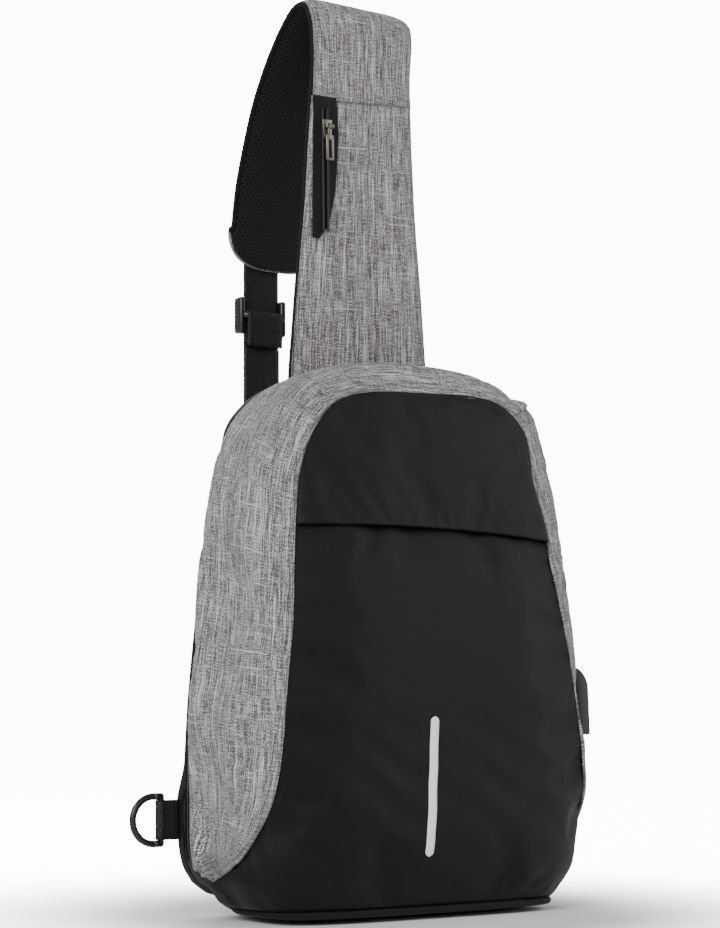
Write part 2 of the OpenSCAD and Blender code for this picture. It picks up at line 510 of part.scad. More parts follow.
front_lower_panel();
front_upper_panel();
left_gusset();
right_gusset();
top_gusset();
base_panel();
left_base_cheek();
right_base_cheek();
base_piping();
base_board();
gusset_lining();
reflective_strip();
front_zip_tapes();
front_zip_coil();
front_zip_slider();
front_zip_pull();
main_zip_shell_tape();
main_zip_shell_coil();
main_zip_panel_tape();
main_zip_panel_coil();
upper_zip_slider();
upper_zip_pull();
lower_zip_slider();
lower_zip_pull();
back_panel();
back_board();
tablet_sleeve();
hinge_strip();
strap_face();
strap_foam();
strap_mesh();
strap_pocket_insert();
strap_zip_coil();
strap_zip_slider();
strap_zip_pull();
webbing();
webbing_slack();
webbing_end_loop();
tri_glide();
left_ring_tab();
left_ring();
right_ring_tab();
right_ring();
hook_eye();
swivel_hook();
hook_gate();
cable_hood();
cable_socket();
socket_tongue();
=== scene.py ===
# %% [markdown]
# # A sling bag, sewn piece by piece
# The bag's sizes, joints and hard parts come from the CAD frame. Here every cloth panel is laid over
# that frame as its own thin skin, the way a sewing room cuts a bag: black front, grey sides, back pad,
# strap, webbing and zips. Each skin rides on the CAD body it belongs to, so the joints still move it.

# %% Load the frame and keep its box
import math
import bmesh
import bpy
from mathutils import Matrix, Vector, noise
from mathutils.bvhtree import BVHTree


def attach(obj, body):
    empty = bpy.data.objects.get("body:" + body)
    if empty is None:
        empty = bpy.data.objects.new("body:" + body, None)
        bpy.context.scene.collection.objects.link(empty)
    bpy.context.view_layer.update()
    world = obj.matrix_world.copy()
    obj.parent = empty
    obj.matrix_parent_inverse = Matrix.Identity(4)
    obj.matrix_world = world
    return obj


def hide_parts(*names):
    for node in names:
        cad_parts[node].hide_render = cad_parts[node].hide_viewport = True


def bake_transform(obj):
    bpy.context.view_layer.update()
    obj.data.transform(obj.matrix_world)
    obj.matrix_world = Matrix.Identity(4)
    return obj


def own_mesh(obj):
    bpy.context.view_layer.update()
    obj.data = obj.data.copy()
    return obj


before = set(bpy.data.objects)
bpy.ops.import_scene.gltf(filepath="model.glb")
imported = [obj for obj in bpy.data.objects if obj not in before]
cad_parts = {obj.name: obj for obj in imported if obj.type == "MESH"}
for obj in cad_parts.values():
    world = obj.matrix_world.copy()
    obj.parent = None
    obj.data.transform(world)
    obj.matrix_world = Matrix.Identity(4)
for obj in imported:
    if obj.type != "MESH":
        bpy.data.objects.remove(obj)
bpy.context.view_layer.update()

MM = 0.001
scene = bpy.context.scene

# %% [markdown]
# A bag in a shop's catalogue is lit by big soft boxes against white, so a pale floor, one large
# key light, a fill and a rim are enough. The camera looks from the bag's front left, a little below
# the middle of the bag, through a long lens so that the strap isn't stretched.

# %% Camera, lights and floor
VIEW_AZIMUTH = math.radians(-35)
CAMERA_DISTANCE = 1.30
LENS_HEIGHT = 0.120
SIDE_STEP = -0.019
RISE = 0.266
SEEN_WHITE = 12


def add_camera():
    """A level long-lens camera at the bag's front left, its lens shifted up to take in the strap."""
    away = Vector((math.sin(VIEW_AZIMUTH), -math.cos(VIEW_AZIMUTH), 0))
    right = Vector((math.cos(VIEW_AZIMUTH), math.sin(VIEW_AZIMUTH), 0))
    data = bpy.data.cameras.new("camera")
    data.lens = 85
    data.sensor_fit = "VERTICAL"
    data.sensor_height = 36
    data.shift_y = RISE
    camera = bpy.data.objects.new("camera", data)
    scene.collection.objects.link(camera)
    camera.location = away * CAMERA_DISTANCE + right * SIDE_STEP + Vector((0, 0, LENS_HEIGHT))
    camera.rotation_euler = (-away).to_track_quat("-Z", "Y").to_euler()
    scene.camera = camera


def add_area_light(name, place, size, power):
    """A square soft box aimed at the middle of the bag."""
    data = bpy.data.lights.new(name, "AREA")
    data.size = size
    data.energy = power
    light = bpy.data.objects.new(name, data)
    scene.collection.objects.link(light)
    light.location = place
    light.rotation_euler = (Vector((0, 0, 0.25)) - light.location).to_track_quat("-Z", "Y").to_euler()


def plain_material(name, colour, roughness):
    """A material for what isn't part of the bag."""
    material = bpy.data.materials.new(name)
    material.use_nodes = True
    shader = material.node_tree.nodes["Principled BSDF"]
    shader.inputs["Base Color"].default_value = (*colour, 1)
    shader.inputs["Roughness"].default_value = roughness
    return material


def add_floor():
    """A pale floor that glows towards its rim, so that it melts into the white surround."""
    bm = bmesh.new()
    bmesh.ops.create_grid(bm, x_segments=2, y_segments=2, size=6)
    floor = bpy.data.objects.new("floor", bpy.data.meshes.new("floor"))
    bm.to_mesh(floor.data)
    bm.free()
    scene.collection.objects.link(floor)
    material = plain_material("pale_floor", (0.9, 0.9, 0.9), 0.7)
    tree = material.node_tree
    place = tree.nodes.new("ShaderNodeTexCoord").outputs["Object"]
    far = tree.nodes.new("ShaderNodeVectorMath")
    far.operation = "LENGTH"
    tree.links.new(place, far.inputs[0])
    fade = tree.nodes.new("ShaderNodeMapRange")
    fade.interpolation_type = "SMOOTHSTEP"
    for label, value in (("From Min", 0.12), ("From Max", 0.42), ("To Max", SEEN_WHITE)):
        fade.inputs[label].default_value = value
    tree.links.new(far.outputs["Value"], fade.inputs["Value"])
    seen = tree.nodes.new("ShaderNodeLightPath").outputs["Is Camera Ray"]
    glow = tree.nodes.new("ShaderNodeMath")
    glow.operation = "MULTIPLY"
    tree.links.new(fade.outputs["Result"], glow.inputs[0])
    tree.links.new(seen, glow.inputs[1])
    shader = tree.nodes["Principled BSDF"]
    shader.inputs["Emission Color"].default_value = (1, 1, 1, 1)
    tree.links.new(glow.outputs["Value"], shader.inputs["Emission Strength"])
    floor.data.materials.append(material)


def add_world(seen, cast):
    """A white surround: as bright as seen to the camera, and as cast to the bag."""
    scene.world = scene.world or bpy.data.worlds.new("world")
    scene.world.use_nodes = True
    tree = scene.world.node_tree
    shader = tree.nodes["Background"]
    shader.inputs["Color"].default_value = (1, 1, 1, 1)
    rays = tree.nodes.new("ShaderNodeLightPath")
    strength = tree.nodes.new("ShaderNodeMapRange")
    strength.inputs["To Min"].default_value = cast
    strength.inputs["To Max"].default_value = seen
    tree.links.new(rays.outputs["Is Camera Ray"], strength.inputs["Value"])
    tree.links.new(strength.outputs["Result"], shader.inputs["Strength"])


add_camera()
add_area_light("key", (-1.75, -0.95, 1.25), 1.2, 38)
add_area_light("fill", (1.5, -1.1, 0.9), 1.4, 13)
add_area_light("rim", (0.4, 1.6, 1.3), 1.2, 18)
add_floor()
add_world(SEEN_WHITE, 0.5)

# %% [markdown]
# Cloth patterns have to follow the cloth, so every skin below carries a UV map named "cloth" whose
# units are metres along and across the piece. The threads are then the same size on every panel.
# Three node groups hold what several fabrics share: a plain weave, long slubs of uneven yarn, and a
# broad patchiness that stops a surface looking printed.

# %% Helpers for node groups
def new_group(name, inputs, outputs):
    """A shader node group with named float, vector or colour sockets."""
    group = bpy.data.node_groups.new(name, "ShaderNodeTree")
    kinds = {"v": "NodeSocketVector", "f": "NodeSocketFloat", "c": "NodeSocketColor"}
    for label, kind, value in inputs:
        socket = group.interface.new_socket(name=label, in_out="INPUT", socket_type=kinds[kind])
        if kind == "f":
            socket.default_value = value
    for label, kind in outputs:
        group.interface.new_socket(name=label, in_out="OUTPUT", socket_type=kinds[kind])
    return group, group.nodes.new("NodeGroupInput"), group.nodes.new("NodeGroupOutput")


def math_node(tree, operation, *values):
    """A Math node; each value is a number or a socket."""
    node = tree.nodes.new("ShaderNodeMath")
    node.operation = operation
    for socket, value in zip(node.inputs, values):
        if isinstance(value, (int, float)):
            socket.default_value = value
        else:
            tree.links.new(value, socket)
    return node.outputs[0]


def scaled(tree, vector, x, y, z=1.0):
    """The vector stretched by three numbers."""
    node = tree.nodes.new("ShaderNodeMapping")
    node.vector_type = "POINT"
    node.inputs["Scale"].default_value = (x, y, z)
    tree.links.new(vector, node.inputs["Vector"])
    return node.outputs["Vector"]


def noise_node(tree, vector, scale, detail=2.0):
    """A noise value from 0 to 1."""
    node = tree.nodes.new("ShaderNodeTexNoise")
    node.inputs["Scale"].default_value = scale
    node.inputs["Detail"].default_value = detail
    tree.links.new(vector, node.inputs["Vector"])
    return node.outputs["Fac"]


# %% Weave, slub and patch groups
def make_weave_group():
    """Plain weave: warp and weft threads pass over each other in turn."""
    group, ins, outs = new_group("plain_weave", [("Vector", "v", 0), ("Threads", "f", 1500.0)],
                                 [("Height", "f"), ("Over", "f")])
    split = group.nodes.new("ShaderNodeSeparateXYZ")
    group.links.new(ins.outputs["Vector"], split.inputs[0])
    across = math_node(group, "MULTIPLY", split.outputs["X"], ins.outputs["Threads"])
    along = math_node(group, "MULTIPLY", split.outputs["Y"], ins.outputs["Threads"])
    both = math_node(group, "ADD", math_node(group, "FLOOR", across), math_node(group, "FLOOR", along))
    over = math_node(group, "FLOORED_MODULO", both, 2.0)
    turns = [math_node(group, "MULTIPLY", way, math.pi) for way in (across, along)]
    warp, weft = [math_node(group, "ABSOLUTE", math_node(group, "SINE", turn)) for turn in turns]
    rest = math_node(group, "SUBTRACT", 1.0, over)
    height = math_node(group, "ADD", math_node(group, "MULTIPLY", warp, over),
                       math_node(group, "MULTIPLY", weft, rest))
    group.links.new(height, outs.inputs["Height"])
    group.links.new(over, outs.inputs["Over"])
    return group


def make_slub_group():
    """Uneven yarn: streaks along both thread directions, from dark to light."""
    group, ins, outs = new_group("slub_yarn", [("Vector", "v", 0)], [("Tone", "f"), ("Slub", "f")])
    vector = ins.outputs["Vector"]
    warp = noise_node(group, scaled(group, vector, 1500, 75), 1, 4)
    weft = noise_node(group, scaled(group, vector, 130, 1500), 1, 4)
    fleck = noise_node(group, scaled(group, vector, 1500, 1300), 1, 1)
    broad = noise_node(group, scaled(group, vector, 420, 7), 1, 2)
    long_warp = noise_node(group, scaled(group, vector, 820, 20, 3), 1, 2)
    long_weft = noise_node(group, scaled(group, vector, 22, 900, 3), 1, 2)
    longest = math_node(group, "MAXIMUM", long_warp, math_node(group, "SUBTRACT", long_weft, 0.05))
    slub = math_node(group, "MULTIPLY", math_node(group, "SUBTRACT", longest, 0.58), 7.0)
    slub = math_node(group, "MAXIMUM", slub, 0.0)
    tone = math_node(group, "ADD", math_node(group, "MULTIPLY", warp, 0.36),
                     math_node(group, "MULTIPLY", weft, 0.22))
    tone = math_node(group, "ADD", tone, math_node(group, "MULTIPLY", fleck, 0.38))
    tone = math_node(group, "ADD", tone, math_node(group, "MULTIPLY", broad, 0.12))
    group.links.new(tone, outs.inputs["Tone"])
    group.links.new(slub, outs.inputs["Slub"])
    return group


def make_patch_group():
    """Broad soft patches, for colour and shine that vary over a panel."""
    group, ins, outs = new_group("broad_patch", [("Vector", "v", 0), ("Low", "f", 0.0), ("High", "f", 1.0)],
                                 [("Value", "f")])
    patch = noise_node(group, ins.outputs["Vector"], 24, 3)
    spread = math_node(group, "SUBTRACT", ins.outputs["High"], ins.outputs["Low"])
    value = math_node(group, "ADD", ins.outputs["Low"], math_node(group, "MULTIPLY", patch, spread))
    group.links.new(value, outs.inputs["Value"])
    return group


WEAVE = make_weave_group()
SLUB = make_slub_group()
PATCH = make_patch_group()
print("node groups:", [g.name for g in (WEAVE, SLUB, PATCH)])

# %% Helpers for materials
def new_material(name, **constants):
    """A Principled material with constant sockets set by their names (underscores for spaces)."""
    material = bpy.data.materials.new(name)
    material.use_nodes = True
    tree = material.node_tree
    shader = tree.nodes["Principled BSDF"]
    for label, value in constants.items():
        socket = shader.inputs[label.replace("_", " ")]
        socket.default_value = (*value, 1) if isinstance(value, tuple) else value
    return material, tree, shader


def place_group(tree, group, vector, **values):
    """A node group in a material, fed with a vector and its own values."""
    node = tree.nodes.new("ShaderNodeGroup")
    node.node_tree = group
    tree.links.new(vector, node.inputs["Vector"])
    for label, value in values.items():
        if isinstance(value, (int, float)):
            node.inputs[label].default_value = value
        else:
            tree.links.new(value, node.inputs[label])
    return node


def cloth_vector(tree):
    """The metres along and across the cloth."""
    node = tree.nodes.new("ShaderNodeUVMap")
    node.uv_map = "cloth"
    return node.outputs["UV"]


def object_vector(tree):
    """The place on the bag."""
    return tree.nodes.new("ShaderNodeTexCoord").outputs["Object"]


def ramp(tree, value, stops):
    """A colour ramp: stops are (position, colour)."""
    node = tree.nodes.new("ShaderNodeValToRGB")
    while len(node.color_ramp.elements) < len(stops):
        node.color_ramp.elements.new(0.5)
    for element, (position, colour) in zip(node.color_ramp.elements, stops):
        element.position = position
        element.color = (*colour, 1)
    tree.links.new(value, node.inputs["Fac"])
    return node.outputs["Color"]


def bump(tree, shader, height, distance, strength=1.0):
    """A bump of so many metres that feeds the shader's normal."""
    node = tree.nodes.new("ShaderNodeBump")
    node.inputs["Distance"].default_value = distance
    node.inputs["Strength"].default_value = strength
    tree.links.new(height, node.inputs["Height"])
    tree.links.new(node.outputs["Normal"], shader.inputs["Normal"])


# %% [markdown]
# The grey cloth is a cationic polyester: black and white yarns of uneven thickness woven together, so
# it reads as warm grey with light slubs and dark flecks. It could be painted as one noise, but real
# threads run two ways, so the colour is built from two stretched noises that follow the UV map.

# %% Grey melange cloth
def make_melange():
    material, tree, shader = new_material("grey_melange", Sheen_Weight=0.08, Sheen_Roughness=0.6,
                                          Specular_IOR_Level=0.25)
    cloth = cloth_vector(tree)
    weave = place_group(tree, WEAVE, cloth, Threads=1250.0)
    slub = place_group(tree, SLUB, cloth)
    tone = math_node(tree, "ADD", slub.outputs["Tone"],
                     math_node(tree, "MULTIPLY", weave.outputs["Over"], 0.02))
    tone = math_node(tree, "ADD", tone, math_node(tree, "MULTIPLY", slub.outputs["Slub"], 0.13))
    colour = ramp(tree, tone, [(0.40, (0.022, 0.020, 0.020)), (0.485, (0.078, 0.070, 0.073)),
                               (0.545, (0.182, 0.167, 0.174)), (0.65, (0.700, 0.668, 0.686))])
    tree.links.new(colour, shader.inputs["Base Color"])
    patch = place_group(tree, PATCH, object_vector(tree), Low=0.72, High=0.95)
    tree.links.new(patch.outputs["Value"], shader.inputs["Roughness"])
    relief = math_node(tree, "ADD", weave.outputs["Height"], slub.outputs["Tone"])
    bump(tree, shader, relief, 0.00022)
    return material


# %% Black cloths: front satin, lining, air mesh, webbing and zip tape
def make_weave_cloth(name, dark, light, threads, relief, roughness, sheen):
    """A plain cloth of one colour with a visible weave, painted darker where its threads dip, as shade."""
    material, tree, shader = new_material(name, Sheen_Weight=sheen, Sheen_Roughness=0.45,
                                          Specular_IOR_Level=0.22)
    weave = place_group(tree, WEAVE, cloth_vector(tree), Threads=threads)
    patch = place_group(tree, PATCH, object_vector(tree), Low=0.0, High=1.0)
    # Base colour: painted shade where each thread dips into the weave, blended with broad random patches.
    weave_shade_and_patch = math_node(tree, "ADD", math_node(tree, "MULTIPLY", weave.outputs["Height"], 0.35),
                      math_node(tree, "MULTIPLY", patch.outputs["Value"], 0.65))
    tree.links.new(ramp(tree, weave_shade_and_patch, [(0.25, dark), (0.8, light)]), shader.inputs["Base Color"])
    shine = place_group(tree, PATCH, object_vector(tree), Low=roughness - 0.08, High=roughness + 0.08)
    tree.links.new(shine.outputs["Value"], shader.inputs["Roughness"])
    bump(tree, shader, weave.outputs["Height"], relief)
    return material


def make_air_mesh():
    """Spacer mesh: a black knit with rows of staggered oval holes, the holes painted almost black as shade.
    """
    material, tree, shader = new_material("air_mesh_knit", Sheen_Weight=0.05, Sheen_Roughness=0.5,
                                          Specular_IOR_Level=0.2)
    cloth = cloth_vector(tree)
    split = tree.nodes.new("ShaderNodeSeparateXYZ")
    tree.links.new(cloth, split.inputs[0])
    rows = math_node(tree, "MULTIPLY", split.outputs["Y"], 1 / (2.1 * MM))
    row = math_node(tree, "FLOOR", rows)
    stagger = math_node(tree, "MULTIPLY", math_node(tree, "FLOORED_MODULO", row, 2.0), 0.5)
    columns = math_node(tree, "ADD", math_node(tree, "MULTIPLY", split.outputs["X"], 1 / (3.4 * MM)), stagger)
    dx = math_node(tree, "SUBTRACT", math_node(tree, "FRACT", columns), 0.5)
    dy = math_node(tree, "SUBTRACT", math_node(tree, "FRACT", rows), 0.5)
    across, along = [math_node(tree, "MULTIPLY", d, d) for d in (dx, dy)]
    far = math_node(tree, "SQRT", math_node(tree, "ADD", across, math_node(tree, "MULTIPLY", along, 0.8)))
    solid = tree.nodes.new("ShaderNodeMapRange")
    solid.interpolation_type = "SMOOTHSTEP"
    solid.inputs["From Min"].default_value = 0.20
    solid.inputs["From Max"].default_value = 0.36
    tree.links.new(far, solid.inputs["Value"])
    # Painted shade: the holes are coloured almost black, while the knit round them keeps its own black.
    knit = ramp(tree, solid.outputs["Result"],
                [(0.0, (0.0006, 0.0006, 0.0006)), (1.0, (0.011, 0.011, 0.012))])
    tree.links.new(knit, shader.inputs["Base Color"])
    shader.inputs["Roughness"].default_value = 0.8
    bump(tree, shader, solid.outputs["Result"], 0.0009)
    return material


def make_webbing():
    """Woven strap tape: fine ribs across and a herringbone of slanted threads, painted lighter on their
    crests and darker in their grooves as highlight and shade.
    """
    material, tree, shader = new_material("webbing_tape", Sheen_Weight=0.05, Sheen_Roughness=0.4,
                                          Specular_IOR_Level=0.4)
    cloth = cloth_vector(tree)
    split = tree.nodes.new("ShaderNodeSeparateXYZ")
    tree.links.new(cloth, split.inputs[0])
    zigzag = math_node(tree, "PINGPONG", math_node(tree, "MULTIPLY", split.outputs["X"], 1 / (4 * MM)), 1.0)
    along = math_node(tree, "MULTIPLY", split.outputs["Y"], 1 / (1.3 * MM))
    turns = math_node(tree, "ADD", along, zigzag)
    wave = math_node(tree, "SINE", math_node(tree, "MULTIPLY", turns, 2 * math.pi))
    height = math_node(tree, "MULTIPLY", math_node(tree, "ADD", wave, 1.0), 0.5)
    # Colour follows the rib height: painted highlight on the crests, painted shade in the grooves.
    tree.links.new(ramp(tree, height, [(0.1, (0.003, 0.003, 0.003)), (0.9, (0.009, 0.009, 0.010))]),
                   shader.inputs["Base Color"])
    patch = place_group(tree, PATCH, object_vector(tree), Low=0.42, High=0.62)
    tree.links.new(patch.outputs["Value"], shader.inputs["Roughness"])
    bump(tree, shader, height, 0.00025)
    return material


# %% Hard finishes: plastic, rubber, gunmetal, steel and the reflective film
def make_hard(name, colour, roughness, metallic=0.0, grain=0.00002, spread=0.06, scale=900.0, **constants):
    """A moulded or cast finish: fine grain in the surface and uneven shine."""
    material, tree, shader = new_material(name, Metallic=metallic, **constants)
    place = object_vector(tree)
    patch = place_group(tree, PATCH, place, Low=roughness - spread, High=roughness + spread)
    tree.links.new(patch.outputs["Value"], shader.inputs["Roughness"])
    fine = noise_node(tree, place, scale, 2)
    light = tuple(min(1.0, c * 1.25 + 0.002) for c in colour)
    tree.links.new(ramp(tree, fine, [(0.3, colour), (0.75, light)]), shader.inputs["Base Color"])
    bump(tree, shader, fine, grain)
    return material


MELANGE = make_melange()
SATIN = make_weave_cloth("black_satin", (0.0009, 0.0009, 0.0014), (0.0018, 0.0018, 0.0026), 2600.0, 0.00004,
                         0.48, 0.01)
LINING = make_weave_cloth("lining_cloth", (0.045, 0.045, 0.05), (0.07, 0.07, 0.076), 1600.0, 0.0001, 0.7, 0.2)
TAPE = make_weave_cloth("zip_tape_cloth", (0.003, 0.003, 0.0035), (0.006, 0.006, 0.0068), 1300.0, 0.00012,
                        0.75, 0.05)
MESH = make_air_mesh()
WEBBING = make_webbing()
COIL = make_hard("nylon_coil", (0.010, 0.010, 0.011), 0.35)
PLASTIC = make_hard("moulded_plastic", (0.009, 0.009, 0.010), 0.30, grain=0.00003)
RUBBER = make_hard("hood_rubber", (0.026, 0.026, 0.030), 0.66, grain=0.00008, scale=1400.0)
GUNMETAL = make_hard("antique_metal", (0.17, 0.155, 0.13), 0.30, metallic=1.0, grain=0.00004, spread=0.12)
STEEL = make_hard("socket_steel", (0.55, 0.55, 0.56), 0.3, metallic=1.0)
WHITE_PLASTIC = make_hard("socket_insert", (0.75, 0.75, 0.75), 0.4)
REFLECTIVE = make_hard("reflective_film", (0.93, 0.91, 0.98), 0.5, grain=0.00005, scale=2200.0,
                       Coat_Weight=0.3)
THREAD_GREY = make_hard("grey_thread", (0.20, 0.19, 0.195), 0.8, grain=0.00005)
THREAD_BLACK = make_hard("black_thread", (0.012, 0.012, 0.013), 0.6, grain=0.00005)
print("materials:", len(bpy.data.materials))

# %% [markdown]
# The bag's shape is held in a few numbers: how wide it is and how deep its front is at each height,
# and one row of points up the side for the widest line and the front seam. A smooth curve through
# those rows gives every panel the same edges, so the skins meet at the seams.

# %% The bag's outline, in millimetres
SQUARENESS = 4.3
ZIP_PLANE_Y = 42
BACK_LEAN = math.radians(2.3)
HALF_WIDTHS = [(0, 96), (11.5, 103), (23, 112.5), (34.5, 117.5), (57.5, 120), (86.5, 120), (126.5, 118.5),
               (150, 116.5), (196, 112.4), (242, 107.5), (265, 102), (288, 92), (299.5, 82),
               (307, 73), (317, 51), (324, 20)]
FRONT_DEPTHS = [(0, 40), (8, 46), (23, 51.5), (57.5, 54), (129.5, 53), (171, 49.5), (219, 43),
                (251.5, 36), (288, 27), (306, 22)]
# widest X, widest Z, seam X, seam Y, seam Z: from the bottom tip to the top middle
SIDE_ROWS = [Vector(r) for r in (
    (116, 28, 113.5, 13, 20), (119, 44, 115.5, -22, 42), (120, 67, 112, -41, 65.5),
    (120, 94, 108, -46, 92), (118.3, 130.5, 103.5, -45, 130.5), (114.7, 173, 98, -42.5, 171),
    (110, 223, 92, -36, 219), (104, 257, 85.5, -30, 253.5), (90.5, 289, 74.5, -23.5, 283),
    (71, 308, 59, -21.5, 299.5), (38.5, 320, 36.5, -22, 304.5), (0, 324, 0, -22, 306))]
TOP_ROW = len(SIDE_ROWS) - 1
# How the black front is cut by the shoulders: (seam row, X, Y, Z) added on the left, then on the right
SHOULDER_CUT = {-1: [(7, -1, 0, 0), (8, -5.5, 0, -1), (9, -9, 0, -2.5), (10, -3.5, 0, -1), (11, 0, 0, -0.5)],
                1: [(5, -1, 0, 0), (6, -4, 0, 0), (7, -5.5, 0, 0), (8, 1, 0, 0), (9, -1, 0, 0.5),
                    (10, 6, 0, 0.5), (11, 0, 0, -0.5)]}
SEAM_ROWS = {side: [Vector(r) for r in SIDE_ROWS] for side in (-1, 1)}
for side, cuts in SHOULDER_CUT.items():
    for row, *step in cuts:
        SEAM_ROWS[side][row] += Vector((0, 0, *step))
# The dart between side and top piece: its seam row at the front and at the back edge
DART = {-1: (9.0, 9.45), 1: (8.8, 9.25)}


def clamp(value, low=0.0, high=1.0):
    """The value held between two limits."""
    return min(max(value, low), high)


def mix(a, b, t):
    """A value t of the way from a to b."""
    return a + (b - a) * t


def ease(t):
    """A share from 0 to 1 with a soft start and end."""
    t = clamp(t)
    return t * t * (3 - 2 * t)


def lookup(table, z):
    """A straight-line reading of a table of (place, value)."""
    if z <= table[0][0]:
        return table[0][1]
    for (z0, a), (z1, b) in zip(table, table[1:]):
        if z <= z1:
            return mix(a, b, (z - z0) / (z1 - z0))
    return table[-1][1]


def eased(table, z, reach=7):
    """The table read with its corners rounded off."""
    spots = [mix(-reach, reach, k / 6) for k in range(7)]
    return sum(lookup(table, z + s) for s in spots) / len(spots)


def smooth_row(rows, i):
    """A smooth curve through a list of rows, read at a fractional place."""
    last = len(rows) - 1
    k = int(clamp(math.floor(i), 0, last - 1))
    t = i - k
    a, b, c, d = rows[max(k - 1, 0)], rows[k], rows[k + 1], rows[min(k + 2, last)]
    return (b * 2 + (c - a) * t + (a * 2 - b * 5 + c * 4 - d) * t * t + (b * 3 - a - c * 3 + d) * t ** 3) / 2


def half_width(z):
    """Half the bag's width at a height."""
    return eased(HALF_WIDTHS, z) if z > 4 else lookup(HALF_WIDTHS, z)


def front_depth(z):
    """How far the front stands out at a height."""
    return eased(FRONT_DEPTHS, z, 10) if z > 8 else lookup(FRONT_DEPTHS, z)


def zip_y(z):
    """Where the main zip's plane is at a height: it leans forward with the back."""
    return ZIP_PLANE_Y - z * math.tan(BACK_LEAN)


def widest(i):
    """The widest point of the side at a row."""
    row = smooth_row(SIDE_ROWS, i)
    return Vector((row[0], 0, row[1]))


def seam(i, side=-1):
    """The front seam at a row of one side."""
    row = smooth_row(SEAM_ROWS[side], i)
    return Vector((row[2], row[3], row[4]))


def dart_row(side, t):
    """The row where the side piece meets the top piece, at t from the front seam to the back edge."""
    return mix(*DART[side], clamp(t))


def inward(p):
    """The way into the bag from a point on its skin."""
    middle = Vector((clamp(p.x, -60, 60), clamp(p.y, -5, 20), clamp(p.z, 60, 248)))
    return (middle - p).normalized()


# The right shoulder is packed fuller than the left: (height, how far it stands out)
SHOULDER_FILL = [(212, 0), (240, 3.5), (262, 6), (282, 9), (296, 15), (306, 19), (316, 12), (324, 2)]


def way_along(rows, i):
    """The direction of a smooth path at a place along it."""
    ahead, behind = min(i + 0.05, len(rows) - 1), max(i - 0.05, 0)
    return (smooth_row(rows, ahead) - smooth_row(rows, behind)).normalized()


def filled(p):
    """A point on the skin, carried out where the right shoulder is full."""
    if p.x <= 0:
        return p
    share = clamp(p.x / max(half_width(p.z), 1)) ** 2
    front = ease((zip_y(p.z) - 6 - p.y) / 34)
    rise = 3.2 * front * ease((p.z - 296) / 20) * math.exp(-((p.x - 50) / 26) ** 2)
    return p + Vector((eased(SHOULDER_FILL, p.z, 6) * share * front, 0, rise))


def section(angle, z):
    """A point on the level outline: 90 degrees is the front, 0 the side, less goes back along it."""
    if angle < 0:
        return Vector((half_width(z), -math.degrees(angle), z))
    return Vector((half_width(z) * max(math.cos(angle), 0) ** (2 / SQUARENESS),
                   -front_depth(z) * math.sin(angle) ** (2 / SQUARENESS), z))


def front_point(u, edge):
    """A point on the black front: u runs from -1 at the left seam to 1 at the right one."""
    z = edge.z
    if edge.y < 0:
        last = math.asin(clamp(clamp(-edge.y / front_depth(z)) ** (SQUARENESS / 2)))
    else:
        last = math.radians(-edge.y)
    p = section(mix(math.pi / 2, last, abs(u)), z)
    p += (edge - section(last, z)) * abs(u) ** 4
    return filled(Vector((math.copysign(p.x, u), p.y, z)))


def gusset_point(i, t, side):
    """A point on the grey side: t runs from 0 at the front seam to 1 at the back edge."""
    w, s = widest(i), seam(i, side)
    middle_y = max(0, s.y + 14)
    if t < 0.6:
        v = t / 0.6
        pull = (1 - v) ** 4.5
        p = Vector((mix(w.x, s.x, pull), mix(s.y, middle_y, v), mix(w.z, s.z, pull)))
    else:
        v = (t - 0.6) / 0.4
        p = Vector((w.x, mix(middle_y, zip_y(w.z) - 4.6, v), w.z))
        p += inward(p) * 1.5 * v * v
        lip = ease(v / 0.6) * ease((1 - v) / 0.17) * ease((i - 2) / 2) * ease((9.5 - i) / 2)
        p.x += (6.0 if side < 0 else 1.2) * lip
    return filled(Vector((side * p.x, p.y, p.z)))


def zip_point(i, inset, off, side):
    """A point beside the main zip: inset from the widest line, off from the zip's middle."""
    w = widest(i)
    p = Vector((w.x, zip_y(w.z) + off, w.z))
    p += inward(Vector((p.x, 10, p.z))) * inset
    return Vector((side * p.x, p.y, p.z))


print("seam height at the shoulder:", round(seam(9).z), "mm")

# %% [markdown]
# Every skin starts as a flat grid from bmesh.ops.create_grid. Each grid point is then carried to its
# place on the bag, and the UV map is set to real lengths along the grid. The finished sheet is doubled,
# set back by the cloth's thickness and bridged round its edge. A grid keeps the rows of the fabric in
# order, which a sculpted blob wouldn't.

# %% Helpers for skins
def finish_mesh(name, bm, material, body, stands_for=(), smooth=True):
    """Turns a bmesh into a piece of the bag that rides on a body."""
    mesh = bpy.data.meshes.new(name)
    bm.to_mesh(mesh)
    bm.free()
    piece = bpy.data.objects.new(name, mesh)
    scene.collection.objects.link(piece)
    mesh.materials.append(material)
    mesh.polygons.foreach_set("use_smooth", [smooth] * len(mesh.polygons))
    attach(piece, body)
    if stands_for:
        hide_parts(*stands_for)
    return piece


def grid_bmesh(columns, rows, place):
    """A grid carried to place(u, v) in mm, u and v from 0 to 1, with a cloth UV in metres."""
    bm = bmesh.new()
    bmesh.ops.create_grid(bm, x_segments=columns, y_segments=rows, size=0.5)
    uv = bm.loops.layers.uv.new("cloth")
    spots = {v: (v.co.x + 0.5, v.co.y + 0.5) for v in bm.verts}
    wide = running_length([place(k / columns, 0.5) for k in range(columns + 1)])
    long = running_length([place(0.5, k / rows) for k in range(rows + 1)])
    for face in bm.faces:
        for loop in face.loops:
            u, v = spots[loop.vert]
            loop[uv].uv = (wide[round(u * columns)] * MM, long[round(v * rows)] * MM)
    for v, (a, b) in spots.items():
        v.co = place(a, b) * MM
    bm.normal_update()
    return bm


def running_length(points):
    """Lengths along a list of points."""
    total, lengths = 0.0, [0.0]
    for a, b in zip(points, points[1:]):
        total += (b - a).length
        lengths.append(total)
    return lengths


